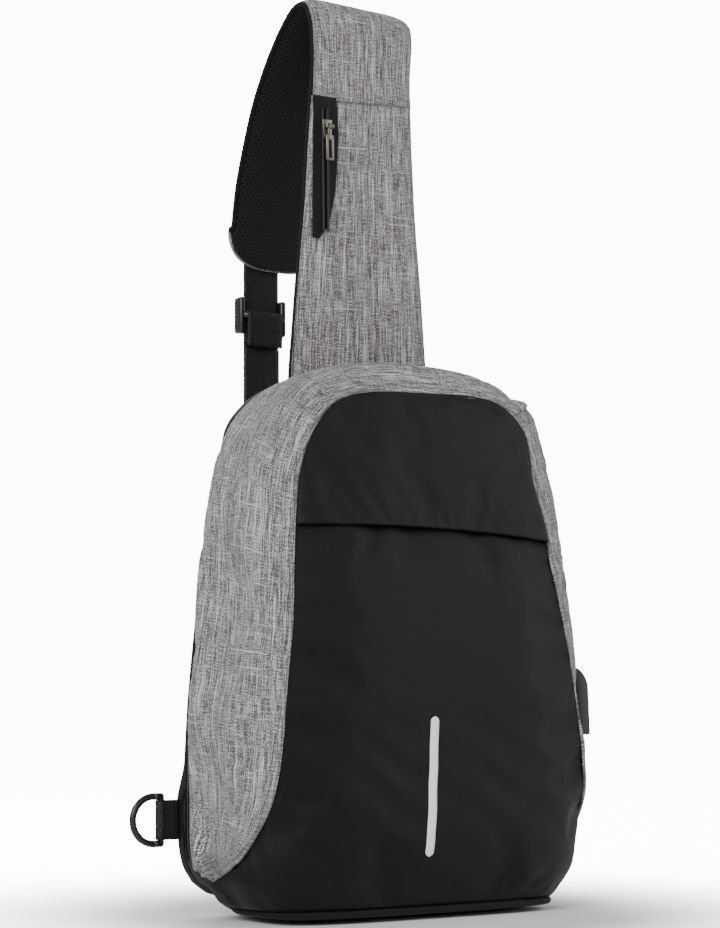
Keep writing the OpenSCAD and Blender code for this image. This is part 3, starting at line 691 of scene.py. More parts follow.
def thicken(bm, thickness, turned=False):
    """Gives a grid its cloth thickness: a second skin inside the first, bridged round the border."""
    if turned:
        bmesh.ops.reverse_faces(bm, faces=bm.faces)
    bm.normal_update()
    steps = [v.normal * -thickness * MM for v in bm.verts]
    made = bmesh.ops.duplicate(bm, geom=bm.verts[:] + bm.edges[:] + bm.faces[:])["geom"]
    for v, step in zip([g for g in made if isinstance(g, bmesh.types.BMVert)], steps):
        v.co += step
    bmesh.ops.reverse_faces(bm, faces=[g for g in made if isinstance(g, bmesh.types.BMFace)])
    bmesh.ops.bridge_loops(bm, edges=[e for e in bm.edges if e.is_boundary])
    bm.normal_update()


def settle(bm, pressure, slack, cap, stiffness=15.0, frames=18):
    """Lets a sewn panel relax: its border is held, air presses from inside, and slack cloth puckers."""
    mesh = bpy.data.meshes.new("settling")
    bm.to_mesh(mesh)
    held = [v.index for v in bm.verts if v.is_boundary]
    start = [v.co.copy() for v in bm.verts]
    trial = bpy.data.objects.new("settling", mesh)
    scene.collection.objects.link(trial)
    trial.vertex_groups.new(name="sewn").add(held, 1.0, "REPLACE")
    cloth = trial.modifiers.new("cloth", "CLOTH")
    cloth.settings.vertex_group_mass = "sewn"
    cloth.settings.quality = 5
    cloth.settings.mass = 0.15
    cloth.settings.tension_stiffness = stiffness
    cloth.settings.compression_stiffness = stiffness
    cloth.settings.bending_stiffness = 0.8
    cloth.settings.use_pressure = True
    cloth.settings.uniform_pressure_force = pressure
    cloth.settings.shrink_min = -slack
    cloth.settings.effector_weights.gravity = 0
    cloth.collision_settings.use_collision = False
    for f in range(1, frames + 1):
        scene.frame_set(f)
    graph = bpy.context.evaluated_depsgraph_get()
    settled = trial.evaluated_get(graph).to_mesh()
    moved = 0.0
    bm.verts.ensure_lookup_table()
    for v, was in zip(bm.verts, start):
        step = settled.vertices[v.index].co - was
        if step.length > cap * MM:
            step *= cap * MM / step.length
        moved = max(moved, step.length)
        v.co = was + step
    bpy.data.objects.remove(trial)
    bpy.data.meshes.remove(mesh)
    scene.frame_set(1)
    print("  settled, largest move", round(moved / MM, 1), "mm")


def soften(bm, rounds=1):
    """Rounds a settled grid off by splitting its faces and easing the points."""
    bmesh.ops.subdivide_edges(bm, edges=bm.edges[:], cuts=1, use_grid_fill=True)
    inner = [v for v in bm.verts if not v.is_boundary]
    for _ in range(rounds):
        bmesh.ops.smooth_vert(bm, verts=inner, factor=0.5, use_axis_x=True, use_axis_y=True, use_axis_z=True)
    bm.normal_update()


def ripple(p, scale, seed):
    """A smooth random value from -1 to 1 at a point in mm."""
    return noise.noise(Vector((p.x, p.y, p.z)) / scale + Vector((seed, seed * 1.7, -seed)))


def relieve(bm, depth_at):
    """Pushes each point along its normal by depth_at(point in mm), in mm."""
    bm.normal_update()
    moves = [(v, v.normal * depth_at(v.co / MM) * MM) for v in bm.verts]
    for v, move in moves:
        v.co += move


# %% [markdown]
# ## The black front
# Two panels of coated satin polyester over thin foam. The lower one wraps round the bottom corners; the
# upper one laps over it and hides the pocket zip. Slack cloth and a little pressure make the soft
# dents, and a few slanting drag lines are pressed in low down where the bag flares.

# %% Lower front panel
def low_edge(v, side):
    """Seam point for a row of the lower panel, v from 0 at the bottom fold to 1 under the hem."""
    i = mix(-0.45, 6.38, v)
    if i >= 0:
        return seam(i, side)
    tip = seam(0)
    z = mix(tip.z, 8.2, -i / 0.45)
    return Vector((tip.x * half_width(z) / half_width(tip.z), tip.y, z))


def drag_lines(p):
    """Soft slanting creases low on the front, fading towards the middle height."""
    fade = ease((150 - p.z) / 90) * ease(p.z / 25)
    slant = (p.x * 0.55 + p.z) / 26
    line = math.sin(slant * 2 * math.pi + 2.2 * ripple(p, 60, 3.0))
    return fade * 0.75 * line * (0.5 + 0.5 * ripple(p, 45, 8.0)) + 0.35 * ripple(p, 38, 5.0)


def lower_front_place(u, v):
    """The lower front: wrapped round the bag, with its bottom corners full."""
    side = -1 if u < 0.5 else 1
    p = front_point(mix(-1, 1, u), low_edge(v, side))
    corner = ease((abs(2 * u - 1) - 0.72) / 0.25) * ease((34 - p.z) / 14) * ease((p.z - 4) / 8)
    return p + Vector((side * 5.5 * corner, 0, 0))


bm = grid_bmesh(64, 56, lower_front_place)
settle(bm, pressure=1.2, slack=0.012, cap=4)
soften(bm)
relieve(bm, lambda p: drag_lines(p) * ease((121 - abs(p.x)) / 12) - 1.6 * ease((p.z - 219) / 10))
FRONT_TREE = BVHTree.FromBMesh(bm)
thicken(bm, 1.4)
lower_front = finish_mesh("front_lower_skin", bm, SATIN, "shell", ["front_lower_panel"])
print("lower front:", len(lower_front.data.polygons), "faces")

# %% Upper front panel with its turned hem
HEM_LIFT = [(242, 3.0), (262, 0.3)]


def edge_table(side):
    """(height, X) along the seam of one side, from the hem to the shoulder's corner."""
    rows = [mix(6.0, 9.35, k / 40) for k in range(41)]
    return [(seam(i, side).z, seam(i, side).x) for i in rows]


EDGE_TABLES = {side: edge_table(side) for side in (-1, 1)}


def upper_front_place(u, v):
    """The hem below, the roll's seam above, and the two shoulder seams on either side."""
    s = 2 * u - 1
    hem = 222.5 + 3 * (1 - s * s) - 1.2 * s
    corner = {side: EDGE_TABLES[side][-1][0] for side in (-1, 1)}
    top = 1.6 + mix(corner[-1], corner[1], u) + (306 - 0.5 * (corner[-1] + corner[1])) * (1 - abs(s) ** 3.2)
    ends = [side * (lookup(EDGE_TABLES[side], mix(hem, corner[side], v)) + 2.6) for side in (-1, 1)]
    x, z = mix(ends[0], ends[1], u), mix(hem, top, v)
    share = clamp(abs(x) / half_width(z))
    y = -front_depth(z) * (1 - share ** SQUARENESS) ** (1 / SQUARENESS)
    p = filled(Vector((x, mix(y, -22.2, ease((v - 0.9) / 0.1) * 0.6), z)))
    lift = lookup(HEM_LIFT, z) * (0.35 + 0.65 * ease((1 - abs(s)) / 0.12))
    tuck = max(2.2 * ease((v - 0.92) / 0.08), 2.8 * ease((abs(s) - 0.965) / 0.035))
    return p - inward(p) * (lift * (1 - ease((abs(s) - 0.94) / 0.06)) + 0.5 - tuck)


bm = grid_bmesh(60, 30, upper_front_place)
settle(bm, pressure=0.8, slack=0.008, cap=3)
soften(bm)
relieve(bm, lambda p: 0.35 * ripple(p, 40, 11.0))
thicken(bm, 1.1)
upper_front = finish_mesh("front_upper_skin", bm, SATIN, "shell", ["front_upper_panel"])
print("upper front:", len(upper_front.data.polygons), "faces")

# %% [markdown]
# ## The grey sides and top
# One long gusset runs up each side and a third piece rolls over the top; they meet at a dart on each
# shoulder. The cloth is unlined at the fold, so it bags gently and shows long up-and-down folds.

# %% Gusset skins
def side_folds(p):
    """Long soft folds that run up the sides, deeper towards the bottom."""
    low = ease((95 - p.z) / 80)
    fold = math.sin((p.y + 0.10 * p.z) / 17 * math.pi + 2.5 * ripple(p, 90, 2.0))
    off = p.y - 27 + (80 - p.z) * 0.19
    deep = ease((88 - p.z) / 40) * (1.0 if p.x < 0 else 0.4)
    pleat = (3.4 * math.exp(-((off + 8) / 5) ** 2) + 1.2 * math.exp(-((off - 6) / 4) ** 2)
             - 4.4 * math.exp(-(off / 2.8) ** 2))
    return (0.35 + 0.5 * low) * fold * 0.8 + 0.45 * ripple(p, 34, 4.0) + deep * pleat


def make_gusset(name, side, node):
    """One grey side: settled, folded and thickened."""
    bm = grid_bmesh(24, 84, lambda u, v: gusset_point(mix(0.02, dart_row(side, u), v), u, side))
    if side > 0:
        bmesh.ops.reverse_faces(bm, faces=bm.faces)
    bm.normal_update()
    settle(bm, pressure=1.0, slack=0.015, cap=4)
    soften(bm)
    relieve(bm, side_folds)
    thicken(bm, 1.2)
    piece = finish_mesh(name, bm, MELANGE, "shell", [node])


def top_place(u, v):
    """The top piece laps over the side pieces; its right end stands open at the front."""
    s = mix(-1, 1, v)
    side = 1 if s > 0 else -1
    i = mix(TOP_ROW, dart_row(side, u) - (0.22 if side < 0 else 0.12), abs(s))
    p = gusset_point(i, u, side)
    lap = 1.5 * ease((abs(s) - 0.8) / 0.15)
    crease = math.exp(-((p.x - 28 - 42 * (1 - u)) / 2.6) ** 2) * ease((0.75 - u) / 0.3)
    gape = 1.5 * ease((s - 0.86) / 0.13) * ease((0.62 - u) / 0.25)
    return p - inward(p) * (lap + gape - 1.5 * crease)


make_gusset("left_gusset_skin", -1, "left_gusset")
make_gusset("right_gusset_skin", 1, "right_gusset")
bm = grid_bmesh(22, 60, top_place)
bmesh.ops.reverse_faces(bm, faces=bm.faces)
bm.normal_update()
settle(bm, pressure=0.8, slack=0.015, cap=3)
soften(bm)
relieve(bm, lambda p: 0.5 * ripple(p, 26, 6.0))
thicken(bm, 1.2)
top_gusset = finish_mesh("top_gusset_skin", bm, MELANGE, "shell", ["top_gusset"])


def gap_place(u, v):
    """A dark strip set inside the open dart on the right shoulder, standing for the shade in the gap."""
    p = gusset_point(dart_row(1, u * 0.7) + mix(-0.3, 0.35, v), u * 0.7, 1)
    return p + inward(p) * 1.9


# Painted shade: a near-black sheet where the open dart falls into shadow.
bm = grid_bmesh(12, 8, gap_place)
thicken(bm, 0.6)
finish_mesh("shoulder_gap_shade_sheet", bm, TAPE, "shell")
print("gussets made")

# %% [markdown]
# ## Strips, tubes and stitches
# Tapes, piping, webbing and binding are all one thing: a narrow section carried along a path. Two
# helpers make them, one for flat strips and one for round cords. A third helper sets stitches, which
# are small rounded bars of thread sunk halfway into the cloth.

# %% Helpers for strips, tubes and stitches
def path_frames(points, across=None):
    """(middle, across, up) at each point of a path; across defaults to level."""
    frames = []
    for k, p in enumerate(points):
        along = (points[min(k + 1, len(points) - 1)] - points[max(k - 1, 0)]).normalized()
        side = Vector(across) if across else Vector((0, 0, 1)).cross(along)
        side = (side - along * side.dot(along)).normalized()
        frames.append((p, side, side.cross(along)))
    return frames


def strip_bmesh(frames, width, thickness, columns=6, crown=0.0):
    """A flat strip: width may be a number or a function of the share along it."""
    rows = len(frames) - 1

    def place(u, v):
        middle, side, up = frames[round(v * rows)]
        w = width(v) if callable(width) else width
        x = 2 * u - 1
        return middle + side * (w / 2 * x) + up * (thickness / 2 + crown * (1 - x ** 4))

    bm = grid_bmesh(columns, rows, place)
    bmesh.ops.solidify(bm, geom=bm.faces[:], thickness=thickness * MM)
    bmesh.ops.recalc_face_normals(bm, faces=bm.faces)
    return bm


def tube_bmesh(frames, radius, around=10, closed=False):
    """A round cord: radius may be a number or a function of the row."""
    rows = len(frames) - 1

    def place(u, v):
        k = round(v * rows)
        middle, side, up = frames[k]
        r = radius(k) if callable(radius) else radius
        turn = 2 * math.pi * u
        return middle + side * (r * math.cos(turn)) + up * (r * math.sin(turn))

    bm = grid_bmesh(around, rows, place)
    bmesh.ops.remove_doubles(bm, verts=bm.verts, dist=0.00001)
    if not closed:
        bmesh.ops.holes_fill(bm, edges=[e for e in bm.edges if e.is_boundary], sides=around)
    bmesh.ops.recalc_face_normals(bm, faces=bm.faces)
    return bm


def stitch_bmesh(frames, pitch=3.2, length=2.2, thread=0.55):
    """Stitches along a path, each a small block rounded by a bevel."""
    bm = bmesh.new()
    travelled, due = 0.0, 0.0
    for (p, side, up), (q, _, _) in zip(frames, frames[1:]):
        gap = (q - p).length
        while due <= travelled + gap and gap > 0:
            spot = p.lerp(q, (due - travelled) / gap)
            along = (q - p).normalized()
            turn = Matrix((side, along, up)).transposed().to_4x4()
            size = Matrix.Diagonal((thread * MM, length * MM, thread * 0.8 * MM, 1))
            bmesh.ops.create_cube(bm, size=1, matrix=Matrix.Translation(spot * MM) @ turn @ size)
            due += pitch
        travelled += gap
    bmesh.ops.bevel(bm, geom=bm.edges[:], offset=0.12 * MM, segments=1, profile=0.5,
                    affect="EDGES", material=-1)
    return bm


def block_bmesh(size, place, matrix, bevel=0.3, segments=2):
    """A box in mm with its edges rounded, moved by place (a Vector in mm) and a matrix."""
    bm = bmesh.new()
    bmesh.ops.create_cube(bm, size=1, matrix=Matrix.Diagonal((*(Vector(size) * MM), 1)))
    bmesh.ops.bevel(bm, geom=bm.edges[:], offset=bevel * MM, segments=segments, profile=0.5,
                    affect="EDGES", material=-1)
    bmesh.ops.transform(bm, matrix=matrix @ Matrix.Translation(Vector(place) * MM), verts=bm.verts)
    return bm


def joined(*parts):
    """Several bmeshes as one."""
    mesh = bpy.data.meshes.new("joined")
    whole = bmesh.new()
    for part in parts:
        part.to_mesh(mesh)
        whole.from_mesh(mesh)
        part.free()
    bpy.data.meshes.remove(mesh)
    return whole


def perimeter(start, count):
    """Steps round the bag from one bottom end, over the top, to the other: (row, side)."""
    rows = [mix(start, TOP_ROW, k / count) for k in range(count + 1)]
    return [(i, -1) for i in rows] + [(i, 1) for i in reversed(rows[:-1])]


print("helpers for strips and stitches ready")

# %% The reflective strip, with rounded ends, glued to the lower front
STRIP_LOW, STRIP_HIGH, STRIP_MIDDLE_X = 37, 117, -14.5


def on_front(x, z, off):
    """A place on the settled lower front, standing off it by so many mm."""
    hit = FRONT_TREE.ray_cast(Vector((x, -200, z)) * MM, Vector((0, 1, 0)))[0]
    return Vector((x, hit.y / MM - off, z))


def reflective_place(u, v):
    """The strip with half-round ends, leaning a little."""
    z = mix(STRIP_LOW, STRIP_HIGH, v)
    end = min(z - STRIP_LOW, STRIP_HIGH - z)
    half = 2.8 * math.sqrt(clamp(1 - clamp((3 - end) / 3) ** 2)) + 0.05
    across = 2 * u - 1
    lean = 3.2 * (z - STRIP_LOW) / (STRIP_HIGH - STRIP_LOW)
    return on_front(STRIP_MIDDLE_X + lean + half * across, z, 0.75 - 0.35 * across ** 2)


bm = grid_bmesh(6, 80, reflective_place)
thicken(bm, 0.9)
finish_mesh("reflective_strip_skin", bm, REFLECTIVE, "shell", ["reflective_strip"])

# %% [markdown]
# ## The base
# The bottom is black packcloth over a stiff board, with a cord piping where it meets the front, and two
# small black cheeks that close the corners behind the grey tips.

# %% Base, piping and cheeks
PIPING_Z, PIPING_R = 5.6, 2.1


def base_place(u, v):
    """The bottom, curling up to the piping at its rim."""
    x = 2 * u - 1
    half = half_width(1) - 2.5
    back = ZIP_PLANE_Y - 2 - 6 * abs(x) ** 6
    front = 2.5 - front_depth(1) * (1 - abs(x) ** SQUARENESS) ** (1 / SQUARENESS)
    rim = max(abs(x), abs(2 * v - 1)) ** 9
    return Vector((half * x, mix(front, back, v), 0.3 + 5.2 * rim))


bm = grid_bmesh(48, 24, base_place)
bmesh.ops.reverse_faces(bm, faces=bm.faces)
bm.normal_update()
bmesh.ops.solidify(bm, geom=bm.faces[:], thickness=1.6 * MM)
bmesh.ops.recalc_face_normals(bm, faces=bm.faces)
finish_mesh("base_skin", bm, TAPE, "shell", ["base_panel"])


def piping_point(angle):
    """A point on the piping, the angle measured round the front."""
    side = -1 if angle > 90 else 1
    p = section(math.radians(180 - angle if angle > 90 else angle), PIPING_Z)
    return Vector((side * p.x, p.y, PIPING_Z))


bm = tube_bmesh(path_frames([piping_point(mix(-10, 190, k / 140)) for k in range(141)]), PIPING_R, 12)
finish_mesh("piping_skin", bm, TAPE, "shell", ["base_piping"])


def cheek_place(side):
    """The black corner behind the grey tip of one side."""
    def place(u, v):
        y = mix(12, 38, u)
        z = mix(3.3 + 15 * ease((y - 14) / 20), 25 + (y - 13.6) * 0.16, v)
        x = half_width(z) - 1.2 * clamp((y - 20) / 18) ** 2 + 0.4
        return Vector((side * x, y, z))
    return place


for name, side in (("left", -1), ("right", 1)):
    bm = grid_bmesh(14, 12, cheek_place(side))
    if side < 0:
        bmesh.ops.reverse_faces(bm, faces=bm.faces)
    relieve(bm, lambda p: 0.5 * ripple(p, 12, 7.0))
    thicken(bm, 1.4)
    finish_mesh(name + "_cheek_skin", bm, TAPE, "shell", [name + "_base_cheek"])
print("base made")

# %% [markdown]
# ## Lining and main zip
# The lining hangs inside the grey walls and the zip tapes are sewn under their edges. Each half of the
# zip belongs to its own side of the opening, so one half stays with the shell and the other goes with
# the back panel when it folds down. The coil is a cord whose radius swells once per tooth.

# %% Lining
def lining_place(u, v):
    """The lining inside the grey band, from the front seam to the zip."""
    steps = perimeter(1, 60)
    i, side = steps[round(v * (len(steps) - 1))]
    w = widest(i)
    start = gusset_point(i, 0.12, side).y
    p = Vector((side * w.x, mix(start, zip_y(w.z) - 12, u), w.z))
    return p + inward(p) * (4.2 + 6 * (1 - u) ** 3)


bm = grid_bmesh(10, 120, lining_place)
relieve(bm, lambda p: 0.5 * ripple(p, 24, 1.0))
thicken(bm, 0.5)
finish_mesh("lining_skin", bm, LINING, "shell", ["gusset_lining"])

# %% Main zip tapes and coils
ZIP_INSET, COIL_GAP, COIL_R, TOOTH = 4, 1.7, 1.0, 1.5


def zip_path(off, inset, count):
    """Points beside the main zip, all the way round."""
    return [zip_point(i, inset, off, side) for i, side in perimeter(0.35, count)]


def zip_tape(low, high, inset):
    """One zip tape, between two distances from the zip's middle."""
    frames = [(p, Vector((0, 1, 0)), inward(Vector((p.x, 10, p.z))) * -1)
              for p in zip_path((low + high) / 2, inset, 70)]
    return strip_bmesh(frames, high - low, 0.6, 4)


def coil_bmesh(points):
    """A coil half: a cord with one swelling per tooth."""
    lengths = running_length(points)
    frames = path_frames(points, (0, 1, 0))

    def swelling(k):
        return COIL_R * (0.82 + 0.18 * math.cos(2 * math.pi * lengths[k] / TOOTH))

    return tube_bmesh(frames, swelling, 6)


for name, off, body, tape, inset in (("shell", -1, "shell", (-10, -2.9), ZIP_INSET + 1.4),
                                     ("panel", 1, "back", (2.9, 4.5), ZIP_INSET)):
    finish_mesh(f"main_zip_{name}_tape_skin", zip_tape(*tape, inset), TAPE, body,
                [f"main_zip_{name}_tape"])
    coil = coil_bmesh(zip_path(off * COIL_GAP, ZIP_INSET, 900))
    finish_mesh(f"main_zip_{name}_coil_skin", coil, COIL, body, [f"main_zip_{name}_coil"])
print("main zip made")

# %% [markdown]
# ## The back panel
# The back is one padded panel in spacer mesh: two side pads and a middle channel that lets air through.
# It is modelled as a front skin and a back skin that meet at the bound edge.

# %% Back panel
CHANNEL_HEIGHTS = (118, 214)
BACK_LOW = [(9, 82), (12, 95), (19, 106), (30, 114)]
LEAN = Matrix.Rotation(BACK_LEAN, 3, "X")


def back_half(z):
    """Half the back panel's width at a height."""
    if z < 30:
        return lookup(BACK_LOW, z)
    return max(half_width(z) - 2.2 - 4.2 * ease((z - 66) / 25) * ease((290 - z) / 25), 8)


def leaned(x, y, z):
    """A point given beside the main zip's plane, turned into the bag's frame."""
    return Vector((0, ZIP_PLANE_Y, 0)) + LEAN @ Vector((x, y, z))


def back_pad(x, z, half):
    """How far the back stands out at a place: rounded border, two pads and channels between."""
    edge = min(half - abs(x), z - 9, (322 - z) * 1.4)
    rim = ease(edge / 9)
    level = [0.8 * math.exp(-((z - middle) / 7) ** 2) for middle in CHANNEL_HEIGHTS]
    channel = max(math.exp(-(x / 9) ** 2), *level)
    return 3 * rim - 2.4 * channel * rim


def back_place(u, v):
    """The mesh side of the back panel."""
    z = mix(9.5, 321.5, v)
    half = back_half(z)
    x = half * (2 * u - 1)
    return leaned(x, 8.6 + 1.0 + back_pad(x, z, half) * 1.0, z)


def back_inner_place(u, v):
    """The lining side of the back panel."""
    z = mix(9.5, 321.5, v)
    return leaned(back_half(z) * (2 * u - 1), 5.2, z)


bm = grid_bmesh(70, 110, back_place)
bmesh.ops.reverse_faces(bm, faces=bm.faces)
thicken(bm, 1.2)
back_skin = finish_mesh("back_panel_skin", bm, MESH, "back", ["back_panel"])
bm = grid_bmesh(30, 60, back_inner_place)
thicken(bm, -1.0)
finish_mesh("back_panel_lining", bm, LINING, "back")


def back_rim(count):
    """Points along the back panel's bound edge, closed."""
    points = [leaned(s * back_half(z), 7.4, z) for s, zs in
              ((1, [mix(9.5, 321.5, k / count) for k in range(count + 1)]),
               (-1, [mix(321.5, 9.5, k / count) for k in range(count + 1)])) for z in zs]
    return points + points[:1]


bm = strip_bmesh([(p, Vector((0, 1, 0)), Vector((p.x, 0, (p.z - 160) * 0.4)).normalized())
                  for p in back_rim(90)], 6.4, 1.0, 4)
finish_mesh("back_panel_binding", bm, TAPE, "back")

# %% Tablet sleeve inside the back panel
def sleeve_place(u, v):
    """The tablet sleeve, bowed a little off the panel."""
    return leaned(mix(-84, 84, u), 1.6 - 0.5 * math.sin(math.pi * u), mix(22, 232, v))


bm = grid_bmesh(20, 24, sleeve_place)
thicken(bm, 0.7)
finish_mesh("tablet_sleeve_skin", bm, LINING, "back", ["tablet_sleeve"])

# %% [markdown]
# The fold under the back panel is plain cloth between the shell and the back panel; it stays fixed in place
# and rides on neither body.

# %% Hinge cloth
def hinge_place(u, v):
    """The fold of cloth between the shell and the back panel."""
    return Vector((mix(-80, 80, u), 44.6 + 3.4 * v * v, mix(3, 9.5, v)))


bm = grid_bmesh(40, 8, hinge_place)
thicken(bm, 1.0)
mesh = bpy.data.meshes.new("hinge_cloth")
bm.to_mesh(mesh)
bm.free()
hinge = bpy.data.objects.new("hinge_cloth", mesh)
scene.collection.objects.link(hinge)
mesh.materials.append(TAPE)
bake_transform(hinge)
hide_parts("hinge_strip")
print("back made")

# %% [markdown]
# ## The shoulder strap
# A padded strap rises from the bag's top edge, folds over sharply and comes down behind. Its outer face
# is the grey cloth, its inner face is spacer mesh, and a seam crosses it below the fold.

# %% Strap path and section
STRAP_PATH = [Vector((0, y, z)) for y, z in (
    (37.6, 323.5), (36, 375), (34.4, 422), (32.8, 466), (31.2, 505), (30.8, 529), (33.6, 541),
    (44, 541.5), (57, 530), (71, 512), (83, 491), (92, 467), (99, 443), (104.5, 419), (107.5, 397))]
STRAP_LAST = len(STRAP_PATH) - 1
STRAP_X = [(0, 3), (3, 0), (5, 0), (8, -5), (14, -14)]
STRAP_W = [(0, 101), (2, 81), (4, 70), (6, 76), (9, 75), (12, 73), (13.2, 68), (13.7, 58), (14, 36)]
CROSS_SEAM, SEAM_TILT = 3.53, 0.085


def strap_frame(i):
    """Middle, way along and way out of the strap at a place along its path."""
    low = min(i, 0) * 50
    i = clamp(i, 0, STRAP_LAST)
    p = smooth_row(STRAP_PATH, i) + Vector((0, 0, low))
    along = way_along(STRAP_PATH, i)
    return Vector((lookup(STRAP_X, i), p.y, p.z)), along, Vector((0, along.z, -along.y))


def strap_half(i):
    """Half the strap's width, rounded off at the free end."""
    if i > 13:
        return 34 * math.sqrt(clamp(1 - ((i - 13) / 1.02) ** 2)) + 2
    return eased(STRAP_W, i, 0.3) / 2


def strap_relief(p, i):
    """Creases in the padded strap: broad dents, deeper by the fold and at the cross seam."""
    seam_dip = 0.5 * math.exp(-((i - CROSS_SEAM) / 0.12) ** 2)
    fold = math.exp(-((i - 5.6) / 0.7) ** 2)
    drag = 0.5 * math.sin((p.z + 0.5 * p.x) / 9) * ease((p.z - 500) / 30)
    return 0.55 * ripple(p, 42, 9.0) + 0.3 * ripple(p, 17, 3.0) - seam_dip + fold * drag


def strap_place(side, low=0.0, high=STRAP_LAST, lift=0.0, tilt=(0, 0)):
    """One face of the strap between two places; lift raises a lapping piece, tilt slants its ends."""
    def place(u, v):
        x = 2 * u - 1
        i = mix(low + tilt[0] * x, high + tilt[1] * x, v)
        middle, _, up = strap_frame(i)
        bulge = 3.9 * (1 - abs(x) ** 7) ** 0.6 if side < 0 else 3.9 * (1 - abs(x) ** 5) ** 0.6
        bulge = max(bulge - (0.6 if side < 0 else -0.4), 0) + lift * ease((CROSS_SEAM + 0.5 - i) / 0.5)
        p = middle + Vector((1, 0, 0)) * (strap_half(i) * x)
        bulge += strap_relief(p, i) * (1 - abs(x) ** 6) * (0.7 if side < 0 else 0.3)
        return p + up * (side * bulge - 0.4)
    return place


lower_face = grid_bmesh(40, 70, strap_place(-1, -0.18, CROSS_SEAM + 0.05, tilt=(0, SEAM_TILT)))
thicken(lower_face, 1.0)
upper_face = grid_bmesh(40, 180, strap_place(-1, CROSS_SEAM - 0.03, STRAP_LAST, 1.1, (SEAM_TILT, 0)))
thicken(upper_face, 1.0)
strap_face = finish_mesh("strap_face_skin", joined(lower_face, upper_face), MELANGE, "back", ["strap_face"])
bm = grid_bmesh(40, 240, strap_place(1, -0.18))
bmesh.ops.reverse_faces(bm, faces=bm.faces)
thicken(bm, 1.0)
strap_mesh = finish_mesh("strap_mesh_skin", bm, MESH, "back", ["strap_mesh", "strap_foam"])

# %% Strap edges: a narrow black binding on both sides and a grey one round the free end
def strap_edge(side, low, high, count, lift=0.0):
    """Points along one edge of the strap."""
    points = []
    for k in range(count + 1):
        i = mix(low, high, k / count)
        middle, _, up = strap_frame(i)
        points.append(middle + Vector((side * (strap_half(i) - 0.3), 0, 0)) + up * (0.9 + lift))
    return points


edge_parts = [tube_bmesh(path_frames(strap_edge(s, -0.18, 13.1, 160), (0, 1, 0)), 1.4, 8) for s in (-1, 1)]
finish_mesh("strap_binding", joined(*edge_parts), TAPE, "back")
end_loop = strap_edge(-1, 12.9, 14, 30, -1.2) + strap_edge(1, 12.9, 14, 30, -1.2)[::-1]
finish_mesh("strap_end_piping", tube_bmesh(path_frames(end_loop, (0, 1, 0)), 1.1, 8), MELANGE, "back")


def strap_line(i, inset, count=40):
    """A level line across the strap's face."""
    points = []
    for k in range(count + 1):
        x = mix(-1, 1, k / count) * (1 - inset / strap_half(i))
        middle, along, up = strap_frame(i + SEAM_TILT * x)
        lift = 3.3 * (1 - abs(x) ** 7) ** 0.6
        points.append((middle + Vector((strap_half(i) * x, 0, 0)) - up * (lift + 1.25), -along, -up))
    return points


finish_mesh("strap_cross_stitches", stitch_bmesh(strap_line(CROSS_SEAM + 0.06, 4), 2.8, 1.9, 0.5),
            THREAD_GREY, "back")
print("strap made")

# %% [markdown]
# The strap pocket is a black insert on one edge of the front leg with its own small coil zip.

# %% Strap pocket
POCKET_AT = Vector((-30.6, 28.5, 466))
POCKET_FRAME = (Matrix.Translation(POCKET_AT * MM) @ Matrix.Rotation(math.radians(1.93), 4, "X")
                @ Matrix.Rotation(math.radians(-2), 4, "Y") @ Matrix.Rotation(math.pi, 4, "Z"))
POCKET_EDGE = [(-64, -4), (-56, 3), (-38, 8), (-18, 10), (0, 11), (17, 10), (20, 9.4)]


def pocket_place(u, v):
    """The insert: raised beside the little zip and slit over its coil."""
    z = mix(-64, 20, v)
    x = mix(-6.6 - 1.4 * ease((20 - z) / 84), eased(POCKET_EDGE, z, 4), 1 - u)
    ridge = math.exp(-(x / 4.2) ** 4) * ease((z + 64) / 8) * ease((20 - z) / 6)
    slit = math.exp(-(x / 1.6) ** 2) * ease((z + 60) / 6) * ease((14 - z) / 4)
    return POCKET_FRAME @ (Vector((-x, 1.0 + 1.5 * ridge - 1.0 * slit, z)) * MM) / MM


bm = grid_bmesh(30, 50, pocket_place)
thicken(bm, 1.0, turned=True)
finish_mesh("strap_pocket_skin", bm, TAPE, "back", ["strap_pocket_insert"])
ZIP_RISE = 3.4
coils = []
for off in (-COIL_GAP, COIL_GAP):
    points = [POCKET_FRAME @ (Vector((off, ZIP_RISE - 0.6, mix(-60, 12, k / 288))) * MM) / MM
              for k in range(289)]
    coils.append(coil_bmesh(points))
finish_mesh("strap_zip_coil_skin", joined(*coils), COIL, "back", ["strap_zip_coil"])

# %% [markdown]
# ## Webbing, adjuster and tabs
# The 25 mm webbing runs from the strap's end through the adjuster and down behind the shoulder. The
# stretch that bunches up when the adjuster slides is its own piece.

# %% Webbing
WEB_W = 25
WEB_X, WEB_Y, SLACK_Z, GLIDE_Z = -23, 108.8, 305, 367
HOOK_Z = Vector((-0.6, 0.5657, 0.5657))
RING = Vector((130, 48, 57))
RING_ARM, RING_ROUND = 4.7, 13.7
HOLD = RING_ROUND * math.cos(math.pi / 4)
HOOK_MIDDLE = RING + Vector((0, RING_ARM + HOLD, HOLD)) + HOOK_Z * 3.8
EYE_BAR = HOOK_MIDDLE + HOOK_Z * 34
WEB_PATH = [EYE_BAR, EYE_BAR + HOOK_Z * 8, EYE_BAR + HOOK_Z * 18, Vector((72, 108, 138)),
            Vector((36, 113, 184)), Vector((3, 112, 232)), Vector((-18, 110, 272)),
            Vector((WEB_X, WEB_Y, SLACK_Z))]
WEB_GAPS = [(0, 3.4), (0.5, 3.0), (2, 1.2)]


